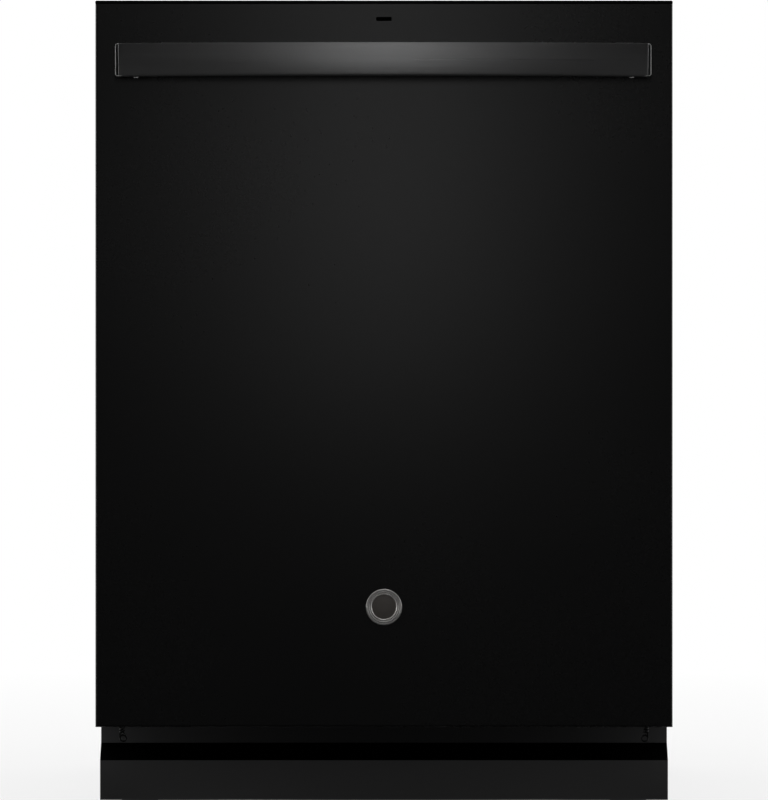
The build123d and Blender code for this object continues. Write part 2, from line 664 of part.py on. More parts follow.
def tub_space(grow):
    """The tub's inner space, grown outwards by the wall for its outer surface."""
    with BuildPart() as space:
        reach = TUB_HALF + grow
        mouth = TUB_FRONT if grow else TUB_FRONT - 4
        heights = (TUB_FLOOR - grow, TUB_CEILING + grow)
        block((-reach, reach), (mouth, TUB_INNER_BACK + grow), heights)
        inside = [edge for edge in space.edges() if edge.center().Y > TUB_FRONT + 1]
        fillet([edge for edge in inside if edge.center().Z > TUB_FLOOR + 1], TUB_CORNER + grow)
        floor = space.faces().sort_by(Axis.Z)[0]
        fillet([edge for edge in floor.edges() if edge.center().Y > TUB_FRONT + 1], FLOOR_CORNER + grow)
        for side in (-1, 1):
            with BuildSketch(side_plane(side * reach)):
                with Locations(*[(RACK_MIDDLE, TUB_FLOOR + rise) for rise in WALL_BEADS]):
                    SlotOverall(RACK_BACK - RACK_FRONT - 2 * grow, BEAD_WIDTH - 2 * grow)
            extrude(amount=-side * BEAD_RISE, mode=Mode.SUBTRACT)
        with BuildSketch(level(TUB_FLOOR - grow)):
            with Locations((0, RACK_MIDDLE)):
                wide = 2 * (TUB_HALF - DISH_INSET[0] + grow)
                deep = 2 * (RACK_BACK - RACK_MIDDLE - DISH_INSET[1] + grow)
                RectangleRounded(wide, deep, DISH_CORNER + grow)
        extrude(amount=-DISH_DEPTH, taper=DISH_SLOPE)
    return space.part


SUMP_RADIUS = 85.0
HEATER_RADIUS = 140.0
HEATER_TUBE = 4.0
HEATER_LEG = 14.0
HEATER_Z = DISH_FLOOR + 10.0
LEG_Y = RACK_MIDDLE + HEATER_RADIUS
with BuildPart() as tub:
    add(tub_space(TUB_WALL))
    with BuildSketch(front_plane(TUB_FRONT)):
        with Locations((0, (TUB_FLOOR + TUB_CEILING) / 2)):
            lap = 2 * (TUB_WALL + TUB_FLANGE)
            RectangleRounded(2 * TUB_HALF + lap, TUB_CEILING - TUB_FLOOR + lap, TUB_CORNER / 2)
    extrude(amount=-TUB_WALL)
    add(tub_space(0), mode=Mode.SUBTRACT)
    with BuildSketch(level(DISH_FLOOR + 1)):
        with Locations((0, RACK_MIDDLE)):
            Circle(SUMP_RADIUS)
        with Locations((-HEATER_LEG, LEG_Y), (HEATER_LEG, LEG_Y)):
            Circle(HEATER_TUBE + FIT)
    extrude(amount=-4, mode=Mode.SUBTRACT)
write(tub, "tub")

# Gasket: a bulb seal round the sides and top of the tub's mouth
with BuildPart() as tub_gasket:
    with BuildSketch(front_plane(LINER_BACK + FIT)):
        with Locations((0, (TUB_FLOOR + TUB_CEILING) / 2)):
            tall = TUB_CEILING - TUB_FLOOR
            RectangleRounded(2 * TUB_HALF + 20, tall + 20, 18)
            RectangleRounded(2 * TUB_HALF + 2, tall + 2, 10, mode=Mode.SUBTRACT)
        with Locations((0, TUB_FLOOR)):
            Rectangle(2 * WIDTH, 30, mode=Mode.SUBTRACT)
    extrude(amount=-(SEAL_ROOM - FIT - WELD))
    fillet(tub_gasket.faces().sort_by(Axis.Y)[0].edges(), 2.5)
write(tub_gasket, "tub_gasket")

# Damping pads on the tub's sides, top and back
PAD = 3.0
with BuildPart() as damping_pads:
    shell = TUB_HALF + TUB_WALL + WELD
    run = (TUB_FRONT + 70, TUB_INNER_BACK - 40)
    for name, side in SIDES:
        block(sorted((side * shell, side * (shell + PAD))), run, (TUB_FLOOR + 60, TUB_CEILING - 40))
    roof = TUB_CEILING + TUB_WALL
    block((40 - TUB_HALF, TUB_HALF - 40), run, (roof + WELD, roof + PAD))
    rear = (TUB_BACK + WELD, TUB_BACK + PAD)
    block((40 - TUB_HALF, TUB_HALF - 40), rear, (TUB_FLOOR + 60, TUB_CEILING - 40))
write(damping_pads, "damping_pads")

# Countertop brackets: tabs on the tub's top flange, each with a screw hole
TAB_X = 150.0
TAB_Z = HEIGHT - 6.0
TAB_HOLE = 2.5
TAB_Y = TUB_FRONT + 20.0
FLANGE_TOP = TUB_CEILING + TUB_WALL + TUB_FLANGE
with BuildPart() as countertop_brackets:
    for name, side in SIDES:
        x = (side * TAB_X - 14, side * TAB_X + 14)
        block(x, (TUB_FRONT + TUB_WALL + WELD, TUB_FRONT + TUB_WALL + 2), (FLANGE_TOP - 9, TAB_Z))
        block(x, (TUB_FRONT + TUB_WALL + WELD, TAB_Y + 10), (TAB_Z - 2, TAB_Z))
    with BuildSketch(level(TAB_Z)):
        with Locations((-TAB_X, TAB_Y), (TAB_X, TAB_Y)):
            Circle(TAB_HOLE)
    extrude(amount=-3, mode=Mode.SUBTRACT)
write(countertop_brackets, "countertop_brackets")

# Sump under the dish, with the post of the lower spray arm and the well of the filter
POST = 11.0
ARM_Z = (TUB_FLOOR + 14.0, TUB_FLOOR + 25.0)
SUMP_BOTTOM = DISH_FLOOR - 42.0
FILTER_X = 46.0
FILTER_RADIUS = 31.0
with BuildPart() as sump:
    for radius, z in (
        (SUMP_RADIUS + 10, (DISH_FLOOR + WELD, DISH_FLOOR + 3)),
        (SUMP_RADIUS - FIT, (SUMP_BOTTOM, DISH_FLOOR + 1)),
        (POST, (DISH_FLOOR, ARM_Z[1] + 2)),
        (POST + 4, (ARM_Z[1] + FIT, ARM_Z[1] + 5)),
    ):
        with BuildSketch(level(z[0])):
            with Locations((0, RACK_MIDDLE)):
                Circle(radius)
        extrude(amount=z[1] - z[0])
    with BuildSketch(level(SUMP_BOTTOM + 5)):
        with Locations((FILTER_X, RACK_MIDDLE)):
            Circle(FILTER_RADIUS + FIT)
    extrude(amount=60, mode=Mode.SUBTRACT)
    with BuildSketch(level(DISH_FLOOR)):
        with Locations((0, RACK_MIDDLE)):
            Circle(POST + 4)
    extrude(amount=ARM_Z[0] - FIT - DISH_FLOOR)
write(sump, "sump")

with BuildPart() as filter_basket:
    with BuildSketch(level(SUMP_BOTTOM + 5 + FIT)):
        with Locations((FILTER_X, RACK_MIDDLE)):
            Circle(FILTER_RADIUS)
            Circle(FILTER_RADIUS - 2, mode=Mode.SUBTRACT)
    extrude(amount=DISH_FLOOR - SUMP_BOTTOM - 2)
    with BuildSketch(level(DISH_FLOOR + 3 + FIT)):
        with Locations((FILTER_X, RACK_MIDDLE)):
            Circle(FILTER_RADIUS - 1)
            Circle(FILTER_RADIUS - 12, mode=Mode.SUBTRACT)
    extrude(amount=3)
    grip = (FILTER_X - 2.5, FILTER_X + 2.5)
    block(grip, (RACK_MIDDLE - 22, RACK_MIDDLE + 22), (DISH_FLOOR + 3 + FIT, DISH_FLOOR + 12))
write(filter_basket, "filter_basket")

# Heater: an open ring over the dish, its two legs through the tub floor
with BuildPart() as heater:
    with BuildSketch(Plane.XZ):
        with Locations((HEATER_RADIUS, HEATER_Z)):
            Circle(HEATER_TUBE)
    gap = degrees(2 * HEATER_LEG / HEATER_RADIUS)
    revolve(axis=Axis.Z, revolution_arc=360 - gap)
    turned = heater.part.rotate(Axis.Z, 90 + gap / 2).translate((0, RACK_MIDDLE, 0))
    add(turned, mode=Mode.REPLACE)
    with BuildSketch(level(HEATER_Z)):
        with Locations((-HEATER_LEG, LEG_Y - 0.7), (HEATER_LEG, LEG_Y - 0.7)):
            Circle(HEATER_TUBE - 0.4)
    extrude(amount=-26)
write(heater, "heater")

# Feed tube: from the sump along the floor, up the back and along the ceiling to the top spray head
RISER_Y = (TUB_INNER_BACK - 30.8, TUB_INNER_BACK - 12.8)
RISER_HALF = 22.0
RUN_HALF = 14.0
HEAD_RADIUS = 30.0
HEAD_DROP = 12.0
RUN_TOP = ARM_Z[0] - 2.0
TOP_RUN = (TUB_CEILING - 18.0, TUB_CEILING - 5.0)
DOCK_Z = TUB_CEILING - 243.0
DOCK_RADIUS = 9.0
with BuildPart() as feed_tube:
    block((-RUN_HALF, RUN_HALF), (RACK_MIDDLE + 70, RACK_MIDDLE + 92), (DISH_FLOOR + 3 + FIT, RUN_TOP))
    block((-RUN_HALF, RUN_HALF), (RACK_MIDDLE + 70, RISER_Y[1]), (TUB_FLOOR + FIT + 1, RUN_TOP))
    block((-RISER_HALF, RISER_HALF), RISER_Y, (TUB_FLOOR + FIT + 1, TOP_RUN[1]))
    block((-RUN_HALF, RUN_HALF), (RACK_MIDDLE, RISER_Y[1]), TOP_RUN)
    with BuildSketch(level(TOP_RUN[0] - HEAD_DROP)):
        with Locations((0, RACK_MIDDLE)):
            Circle(HEAD_RADIUS)
    extrude(amount=HEAD_DROP + 1)
    with BuildSketch(front_plane(RISER_Y[0] - 1)):
        with Locations((0, DOCK_Z)):
            Circle(DOCK_RADIUS)
    extrude(amount=-12, mode=Mode.SUBTRACT)
write(feed_tube, "feed_tube")


# Spray arms: hollow blades on a round hub, free to spin on their posts
HUB_RADIUS = 24.0
TIP_RADIUS = 14.0
BLADE_SWEEP = 10.0
BLADE_EDGE = 2.5
NOZZLE = 1.8
NOZZLE_SHARES = (0.3, 0.5, 0.7, 0.85, 1.0)


def spray_arm(radius, z, bore):
    """One spray arm: two tapered blades through a hub with a bore for its post."""
    with BuildPart() as arm:
        for side in (-1, 1):
            with BuildSketch(level(z[0])):
                with Locations((0, RACK_MIDDLE)):
                    Circle(HUB_RADIUS)
                with Locations((side * (radius - TIP_RADIUS), RACK_MIDDLE + side * BLADE_SWEEP)):
                    Circle(TIP_RADIUS)
                make_hull()
            extrude(amount=z[1] - z[0])
        chamfer(arm.faces().sort_by(Axis.Z)[-1].edges(), BLADE_EDGE)
        with BuildSketch(level(z[0])):
            with Locations((0, RACK_MIDDLE)):
                Circle(bore + RUNNING)
        extrude(amount=z[1] - z[0], mode=Mode.SUBTRACT)
        tip = radius - TIP_RADIUS
        shares = [side * share for side in (-1, 1) for share in NOZZLE_SHARES]
        with BuildSketch(level(z[1])):
            with Locations(*[(share * tip, RACK_MIDDLE + share * BLADE_SWEEP) for share in shares]):
                Circle(NOZZLE)
        extrude(amount=-3, mode=Mode.SUBTRACT)
    return arm


write(spray_arm(218.0, ARM_Z, POST), "lower_spray_arm")

# Pumps, inlet valve and junction box in the base
PUMP_Z = SUMP_BOTTOM
PUMP_STEPS = ((39.0, 0.0, 25.0), (36.0, 24.0, 120.0), (14.0, 119.0, 129.0))
with BuildPart() as circulation_pump:
    for radius, start, stop in PUMP_STEPS:
        with BuildSketch(side_plane(-SUMP_RADIUS - start)):
            with Locations((RACK_MIDDLE, PUMP_Z)):
                Circle(radius)
        extrude(amount=start - stop)
write(circulation_pump, "circulation_pump")

DRAIN_X = SUMP_RADIUS + 37.0
DRAIN_Z = DISH_FLOOR - 32.0
DRAIN_STEPS = ((28.0, 0.0, 55.0), (22.0, 54.0, 90.0))
DRAIN_Y = RACK_MIDDLE - 12.0
DRAIN_PORT = 8.5
PORT_END = 70.0
with BuildPart() as drain_pump:
    for radius, start, stop in DRAIN_STEPS:
        with BuildSketch(side_plane(SUMP_RADIUS + start)):
            with Locations((DRAIN_Y, DRAIN_Z)):
                Circle(radius)
        extrude(amount=stop - start)
    for radius, reach in ((DRAIN_PORT + 2.5, DRAIN_STEPS[0][0] + 3), (DRAIN_PORT, PORT_END)):
        with BuildSketch(front_plane(DRAIN_Y)):
            with Locations((DRAIN_X, DRAIN_Z)):
                Circle(radius)
        extrude(amount=-reach)
write(drain_pump, "drain_pump")

INLET_X = 54.0 - RAIL_OUTER
INLET_Z = DISH_FLOOR - 34.0
INLET_Y = (RAIL_FRONT + 64.5, RAIL_FRONT + 109.5)
INLET_PORT = 13.2
INLET_LENGTH = 24.0
with BuildPart() as inlet_valve:
    block((INLET_X - 20, INLET_X + 20), INLET_Y, (RAIL_BOTTOM + RAIL_SHEET + WELD, INLET_Z + 22))
    with BuildSketch(front_plane(INLET_Y[1])):
        with Locations((INLET_X, INLET_Z)):
            Circle(INLET_PORT)
            Circle(INLET_PORT - 4, mode=Mode.SUBTRACT)
    extrude(amount=-INLET_LENGTH)
write(inlet_valve, "inlet_valve")

POWER_X = RAIL_OUTER - 51.0
POWER_Z = DISH_FLOOR - 36.0
POWER_Y = (RAIL_FRONT + 59.5, RAIL_FRONT + 129.5)
POWER_HOLE = 11.1
BOX_WALL = 1.2
with BuildPart() as junction_box:
    x = (POWER_X - 25, POWER_X + 25)
    z = (RAIL_BOTTOM + RAIL_SHEET + WELD, POWER_Z + 27)
    block(x, POWER_Y, z)
    shrunk = [(limits[0] + BOX_WALL, limits[1] - BOX_WALL) for limits in (x, POWER_Y, z)]
    block(*shrunk, mode=Mode.SUBTRACT)
    with BuildSketch(front_plane(POWER_Y[1] + 1)):
        with Locations((POWER_X, POWER_Z)):
            Circle(POWER_HOLE)
    extrude(amount=4, mode=Mode.SUBTRACT)
write(junction_box, "junction_box")

# Telescopic rails: an I-section each, its outer channel on guides, its inner one for the rack wheels
RAIL_Z = TUB_CEILING - 177.0
CHANNEL = 18.0
FLANGE = 2.0
RAIL_X = (TUB_HALF - 32.0, TUB_HALF - 16.0)
RAIL_WEB = (TUB_HALF - 25.0, TUB_HALF - 23.0)
SLIDE_FRONT = FIELD_Y + 23.0
SLIDE_BACK = RISER_Y[0] - 2.0
for name, side in SIDES:
    with BuildPart() as rack_rail:
        y = (SLIDE_FRONT, SLIDE_BACK)
        half = CHANNEL / 2 + FLANGE
        block(sorted(side * edge for edge in RAIL_WEB), y, (RAIL_Z - half, RAIL_Z + half))
        for z in (RAIL_Z - half, RAIL_Z + half - FLANGE):
            block(sorted(side * edge for edge in RAIL_X), y, (z, z + FLANGE))
    write(rack_rail, f"rack_rail_{name}")

with BuildPart() as rail_guides:
    for name, side in SIDES:
        for y in (SLIDE_FRONT + 15, SLIDE_FRONT + 145):
            block(
                sorted((side * (RAIL_WEB[1] + FIT), side * (TUB_HALF - WELD))),
                (y, y + 40),
                (RAIL_Z - CHANNEL / 2 + FIT, RAIL_Z + CHANNEL / 2 - FIT),
            )
write(rail_guides, "rail_guides")


# Racks: welded from straight wires, floor wires across and along, uprights, and two rims
LOWER_STATIONS = spread(RACK_FRONT, RACK_BACK, 11)
UPPER_STATIONS = spread(RACK_FRONT, RACK_BACK, 10)


def rack_wires(half, floor, rim, hoop, ys, xs):
    """The open wire basket of a rack, from its floor to its rim, with one hoop between."""
    inner = half - THIN_WIRE / 2 - WELD
    second = floor + THIN_WIRE + WELD
    start = RACK_FRONT + THIN_WIRE / 2 + WELD
    stop = RACK_BACK - THIN_WIRE / 2 - WELD
    rod(side_plane(-inner), [(y, floor) for y in ys[1:-1]], THIN_WIRE, 2 * inner)
    rod(front_plane(start), [(x, second) for x in xs[1:-1]], THIN_WIRE, start - stop)
    sides = [(x, y) for x in (-half, half) for y in ys[1:-1]]
    rod(level(floor - THIN_WIRE / 2), sides, THIN_WIRE, rim - floor)
    ends = [(x, y) for x in xs[1:-1] for y in (RACK_FRONT, RACK_BACK)]
    rod(level(second - THIN_WIRE / 2), ends, THIN_WIRE, rim - second)
    out = (THIN_WIRE + WIRE) / 2 + WELD
    reach = half + out + WIRE / 2
    start = RACK_FRONT - out + WIRE / 2 + WELD
    stop = RACK_BACK + out - WIRE / 2 - WELD
    for z in (hoop, rim - THIN_WIRE / 2 - WIRE / 2):
        rod(side_plane(-reach), [(RACK_FRONT - out, z), (RACK_BACK + out, z)], WIRE, 2 * reach)
        rod(front_plane(start), [(-half - out, z), (half + out, z)], WIRE, start - stop)


def tine_row(x, ys, base, length):
    """A row of tines: a rod along the rack with straight tines standing on it."""
    rod(front_plane(ys[0] - 8), [(x, base + THIN_WIRE / 2)], THIN_WIRE, ys[0] - ys[-1] - 16)
    rod(level(base + THIN_WIRE + WELD), [(x, y) for y in ys], THIN_WIRE, length, sides=6)


def axle_plates(face, plate, z, axle_z, ys, radius, reach):
    """Side plates on the rack's uprights, each with the stub axle of one wheel."""
    for name, side in SIDES:
        for y in ys:
            block(sorted((side * face, side * plate)), (y - 10, y + 10), z)
            with BuildSketch(side_plane(side * (plate - 1))) as section:
                with Locations((y, axle_z)):
                    Circle(radius)
            extrude(section.sketch, amount=side * (reach - plate + 1))


def wheel_pair(y, z, x, radius, bore):
    """The left and right wheels on one axle line."""
    with BuildPart() as wheels:
        for name, side in SIDES:
            with BuildSketch(side_plane(side * x[0])):
                with Locations((y, z)):
                    Circle(radius)
                    Circle(bore + RUNNING, mode=Mode.SUBTRACT)
            extrude(amount=side * (x[1] - x[0]))
    return wheels


# Lower rack on four wheels, with fixed tines on the left and clips for a fold-down row on the right
LOWER_HALF = TUB_HALF - 40.0
LOWER_FLOOR = TUB_FLOOR + 42.0
LOWER_RIM = LOWER_FLOOR + 136.0
LOWER_WHEEL = 17.0
LOWER_AXLE = 4.0
LOWER_AXLES = {"front": LOWER_STATIONS[3], "rear": LOWER_STATIONS[9]}
LOWER_WHEEL_X = (LOWER_HALF + 8.0, LOWER_HALF + 18.0)
LOWER_LINES = spread(-LOWER_HALF, LOWER_HALF, 9)
AXLE_Z = TUB_FLOOR + LOWER_WHEEL + FIT
TINE_YS = spread(RACK_FRONT + 113.0, RACK_BACK - 25.0, 9)
TINE_LENGTH = 68.0
TINE_BASE = LOWER_FLOOR + THIN_WIRE / 2 + WELD
WIRE_TOP = LOWER_FLOOR + 1.5 * THIN_WIRE + WELD
FOLD_X = (LOWER_LINES[6] + LOWER_LINES[7]) / 2
FOLD_Z = WIRE_TOP + FIT + THIN_WIRE / 2
FOLD_PIVOT = THIN_WIRE / 2
CLIP = (5.0, 4.0, 5.0)
with BuildPart() as lower_rack:
    rack_wires(LOWER_HALF, LOWER_FLOOR, LOWER_RIM, LOWER_FLOOR + 64, LOWER_STATIONS, LOWER_LINES)
    for left, right in zip(LOWER_LINES[1:5], LOWER_LINES[2:6]):
        tine_row((left + right) / 2, TINE_YS, TINE_BASE, TINE_LENGTH)
    face = LOWER_HALF + THIN_WIRE / 2 + WELD
    heights = (AXLE_Z - 8, LOWER_FLOOR + 24)
    axle_plates(face, face + 4, heights, AXLE_Z, LOWER_AXLES.values(), LOWER_AXLE, LOWER_WHEEL_X[1] + 1)
    for y in LOWER_AXLES.values():
        x = (FOLD_X - CLIP[0], FOLD_X + CLIP[0])
        block(x, (y - CLIP[1], y + CLIP[1]), (TINE_BASE, FOLD_Z + CLIP[2]))
    with BuildSketch(front_plane(RACK_FRONT)):
        with Locations((FOLD_X, FOLD_Z)):
            Circle(FOLD_PIVOT + RUNNING)
    extrude(amount=RACK_FRONT - RACK_BACK, mode=Mode.SUBTRACT)
write(lower_rack, "lower_rack")

for name, y in LOWER_AXLES.items():
    write(wheel_pair(y, AXLE_Z, LOWER_WHEEL_X, LOWER_WHEEL, LOWER_AXLE), f"lower_wheels_{name}")

with BuildPart() as fold_tines:
    with BuildSketch(front_plane(TINE_YS[0] - 8)):
        with Locations((FOLD_X, FOLD_Z)):
            Circle(FOLD_PIVOT)
    extrude(amount=TINE_YS[0] - TINE_YS[-1] - 16)
    stand = [(FOLD_X, y) for y in TINE_YS]
    rod(level(FOLD_Z + FOLD_PIVOT + WELD), stand, THIN_WIRE, TINE_LENGTH, sides=6)
write(fold_tines, "fold_tines")

# Silverware basket: a slatted box with four bays and a carrying handle, in the front of the lower rack
BASKET_X = (-105.0, 105.0)
BASKET_Y = (RACK_FRONT + 8.0, RACK_FRONT + 88.0)
BASKET_Z = (WIRE_TOP + FIT, WIRE_TOP + 118.0)
BASKET_WALL = 2.5
CARRY_WIDTH = 62.0
CARRY_RISE = 46.0
CARRY_GRIP = 8.0
with BuildPart() as silverware_basket:
    block(BASKET_X, BASKET_Y, BASKET_Z)
    walls = spread(BASKET_X[0], BASKET_X[1] - BASKET_WALL, 5)
    for left, right in zip(walls[:-1], walls[1:]):
        bay = (left + BASKET_WALL, right)
        depth = (BASKET_Y[0] + BASKET_WALL, BASKET_Y[1] - BASKET_WALL)
        block(bay, depth, (BASKET_Z[0] + BASKET_WALL, BASKET_Z[1] + 1), mode=Mode.SUBTRACT)
        for x in spread(bay[0] + 9, bay[1] - 9, 3):
            for z in (BASKET_Z[0] + 14, BASKET_Z[0] + 64):
                through = (BASKET_Y[0] - 1, BASKET_Y[1] + 1)
                block((x - 4, x + 4), through, (z, z + 38), mode=Mode.SUBTRACT)
    with BuildSketch(side_plane(-BASKET_WALL)):
        with Locations(((BASKET_Y[0] + BASKET_Y[1]) / 2, BASKET_Z[1])):
            RectangleRounded(CARRY_WIDTH, 2 * CARRY_RISE, 20)
            inner = CARRY_WIDTH - 2 * CARRY_GRIP
            RectangleRounded(inner, 2 * (CARRY_RISE - CARRY_GRIP), 14, mode=Mode.SUBTRACT)
        with Locations(((BASKET_Y[0] + BASKET_Y[1]) / 2, BASKET_Z[1] - CARRY_RISE)):
            Rectangle(CARRY_WIDTH, 2 * CARRY_RISE, mode=Mode.SUBTRACT)
    extrude(amount=2 * BASKET_WALL)
write(silverware_basket, "silverware_basket")

# Upper rack on four wheels in the rails, with its feed pipe and the middle spray arm
UPPER_HALF = TUB_HALF - 63.0
UPPER_FLOOR = RAIL_Z - 50.0
UPPER_RIM = UPPER_FLOOR + 104.0
UPPER_WHEEL = CHANNEL / 2 - FIT
UPPER_AXLE = 3.0
UPPER_AXLES = {"front": UPPER_STATIONS[5], "rear": UPPER_STATIONS[8]}
UPPER_WHEEL_X = (RAIL_X[0] + 1.3, RAIL_WEB[0] - 0.7)
UPPER_LINES = spread(-UPPER_HALF, UPPER_HALF, 8)
CUP_TINE_YS = spread(RACK_FRONT + 58.0, RACK_BACK - 50.0, 6)
CUP_TINE = 46.0
with BuildPart() as upper_rack:
    rack_wires(UPPER_HALF, UPPER_FLOOR, UPPER_RIM, UPPER_FLOOR + 76, UPPER_STATIONS, UPPER_LINES)
    for left, right in zip(UPPER_LINES[1:6], UPPER_LINES[2:7]):
        tine_row((left + right) / 2, CUP_TINE_YS, UPPER_FLOOR + THIN_WIRE / 2 + WELD, CUP_TINE)
    face = UPPER_HALF + THIN_WIRE / 2 + WELD
    heights = (RAIL_Z - 14, RAIL_Z + 14)
    axle_plates(face, face + 4, heights, RAIL_Z, UPPER_AXLES.values(), UPPER_AXLE, UPPER_WHEEL_X[1])
write(upper_rack, "upper_rack")

for name, y in UPPER_AXLES.items():
    write(wheel_pair(y, RAIL_Z, UPPER_WHEEL_X, UPPER_WHEEL, UPPER_AXLE), f"upper_wheels_{name}")

PIPE_Z = (UPPER_FLOOR - 23.0, UPPER_FLOOR - THIN_WIRE / 2 - FIT)
MIDDLE_Z = (PIPE_Z[0] - 15.0, PIPE_Z[0] - 5.0)
with BuildPart() as upper_feed_pipe:
    block((-15, 15), (RACK_MIDDLE - 20, RISER_Y[0] - 8), PIPE_Z)
    with BuildSketch(front_plane(RISER_Y[0] - 10)):
        with Locations((0, DOCK_Z)):
            Circle(DOCK_RADIUS)
    extrude(amount=-8)
    for radius, z in (
        (POST + 5, (MIDDLE_Z[1] + FIT, PIPE_Z[0] + 1)),
        (POST, (MIDDLE_Z[0] - 2, PIPE_Z[0] + 1)),
        (POST + 5, (MIDDLE_Z[0] - 5, MIDDLE_Z[0] - FIT)),
    ):
        with BuildSketch(level(z[0])):
            with Locations((0, RACK_MIDDLE)):
                Circle(radius)
        extrude(amount=z[1] - z[0])
write(upper_feed_pipe, "upper_feed_pipe")

write(spray_arm(200.0, MIDDLE_Z, POST), "middle_spray_arm")
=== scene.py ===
"""The looks of a black built-in dishwasher: finishes for the solids, and bent wire, springs, seals and
turned pieces in place of the plain ones. Metres, in the part's own frame."""

import bmesh
import bpy
import numpy as np
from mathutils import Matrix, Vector


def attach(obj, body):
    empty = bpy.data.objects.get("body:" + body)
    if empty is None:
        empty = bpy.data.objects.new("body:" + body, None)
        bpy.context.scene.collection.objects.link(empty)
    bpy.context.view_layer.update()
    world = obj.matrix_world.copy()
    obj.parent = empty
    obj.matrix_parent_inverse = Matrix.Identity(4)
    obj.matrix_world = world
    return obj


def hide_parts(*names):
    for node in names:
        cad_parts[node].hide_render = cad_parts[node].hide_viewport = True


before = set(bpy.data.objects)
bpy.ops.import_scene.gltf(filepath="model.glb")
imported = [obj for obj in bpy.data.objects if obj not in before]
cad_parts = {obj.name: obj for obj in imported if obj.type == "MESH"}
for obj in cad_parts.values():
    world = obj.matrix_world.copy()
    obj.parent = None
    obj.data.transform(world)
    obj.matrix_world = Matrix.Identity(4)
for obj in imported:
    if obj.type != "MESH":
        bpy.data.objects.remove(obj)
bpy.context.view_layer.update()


# Base rails, brackets and junction box
# Channels, small brackets and a box folded from galvanised sheet, which shows the crystals of its
# zinc bath. The rails are riveted together and carry the tub on their upper flanges.
class Tint:
    """One socket of a finish. Sums and products with other tints or numbers add Math nodes."""

    def __init__(self, tree, socket=None):
        self.tree = tree
        self.socket = socket

    def node(self, kind, settings=None, sockets=None, output=0):
        """Adds any other node: its settings first, then the values or links of its sockets."""
        made = self.tree.nodes.new("ShaderNode" + kind)
        for key, value in (settings or {}).items():
            setattr(made, key, value)
        for key, value in (sockets or {}).items():
            if isinstance(value, Tint):
                self.tree.links.new(value.socket, made.inputs[key])
            else:
                made.inputs[key].default_value = value
        return Tint(self.tree, made.outputs[output])

    def math(self, operation, *terms):
        """A Math node on this tint and numbers or other tints."""
        return self.node("Math", {"operation": operation}, dict(enumerate(terms)))

    def __add__(self, other):
        return self.math("ADD", self, other)

    def __mul__(self, other):
        return self.math("MULTIPLY", self, other)

    def __sub__(self, other):
        return self.math("SUBTRACT", self, other)

    def __rsub__(self, other):
        return self.math("SUBTRACT", other, self)

    __radd__ = __add__
    __rmul__ = __mul__

    def ramp(self, low, high):
        """0 up to the low value, 1 from the high one, straight between."""
        return self.node("MapRange", None, {0: self, 1: low, 2: high, 3: 0.0, 4: 1.0})

    def between(self, low, high):
        """Goes from one colour to another as this value goes from 0 to 1."""
        ends = [end if isinstance(end, Tint) else (*end, 1.0) for end in (low, high)]
        return self.node("Mix", {"data_type": "RGBA"}, {0: self, 6: ends[0], 7: ends[1]}, 2)

    def noise(self, scale, detail=3.0, stretch=(1.0, 1.0, 1.0)):
        """Cloudy noise, 0 to 1, on these coordinates, drawn out along the axes with a small stretch."""
        placed = self.node("Mapping", None, {"Vector": self, "Scale": stretch})
        return self.node("TexNoise", None, {"Vector": placed, "Scale": scale, "Detail": detail})

    def bump(self, strength, distance):
        """A normal from this value read as a height."""
        return self.node("Bump", None, {"Strength": strength, "Distance": distance, "Height": self})


def start_finish(name, **steady):
    """A new material with steady values on the shader's own sockets.

    Gives the material, a function that links tints to its varying sockets, and the coordinates."""
    material = bpy.data.materials.new(name)
    material.use_nodes = True
    tree = material.node_tree
    shader = tree.nodes["Principled BSDF"]
    for key, value in steady.items():
        shader.inputs[key.replace("_", " ")].default_value = value

    def feed(**varying):
        for key, tint in varying.items():
            tree.links.new(tint.socket, shader.inputs[key.replace("_", " ")])

    return material, feed, Tint(tree).node("TexCoord", output=3)


def dress(material, *names):
    """Gives solids of the part a finish."""
    for name in names:
        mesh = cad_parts[name].data
        mesh.materials.clear()
        mesh.materials.append(material)


def zinc_sheet():
    """Crystals of slightly different greys, each a cell of a Voronoi pattern, dulled by cloudy noise."""
    material, feed, place = start_finish("zinc_sheet", Metallic=1.0)
    crystal = place.node("TexVoronoi", None, {"Vector": place, "Scale": 90.0}, 1)
    grey = crystal.node("RGBToBW", None, {0: crystal})
    cloud = place.noise(14.0)
    feed(
        Base_Color=(grey * 0.7 + cloud * 0.3).between((0.36, 0.37, 0.38), (0.58, 0.59, 0.6)),
        Roughness=grey * 0.14 + cloud * 0.16 + 0.26,
        Normal=grey.bump(0.12, 0.0004),
    )
    return material


ZINC = zinc_sheet()
dress(ZINC, "base_rail_left", "base_rail_right", "rear_rail", "junction_box")
dress(ZINC, "hinge_bracket_left", "hinge_bracket_right", "latch_strike", "countertop_brackets")


# Levelling feet
# Four steel studs with a lock nut and a moulded pad, screwed through the rails' lower flanges.
# The thread is rolled, so its ridges show on the stud between the nut and the pad.
THREAD_PITCH = 0.0015
THREAD_Z = (0.0105, 0.0735)
THREAD_CREST = 0.005
THREAD_ROOT = 0.0043
FOOT_SPOTS = [(x, y, 0) for x in (-0.262, 0.262) for y in (-0.150, 0.275)]
SHARP_EDGE = np.radians(38)


def plated_steel(name, colour, rough, scale, metallic=1.0):
    """Bright plated steel: fine scuffs in its roughness and faint cloudy tones in its colour."""
    material, feed, place = start_finish(name, Metallic=metallic)
    cloud = place.noise(scale, 4.0)
    scuff = place.noise(scale * 9, 2.0, (1.0, 1.0, 0.3))
    darker = tuple(0.78 * part for part in colour)
    feed(
        Base_Color=cloud.between(darker, colour),
        Roughness=scuff * 0.16 + cloud * 0.1 + (rough - 0.13),
        Normal=scuff.bump(0.06, 0.0002),
    )
    return material


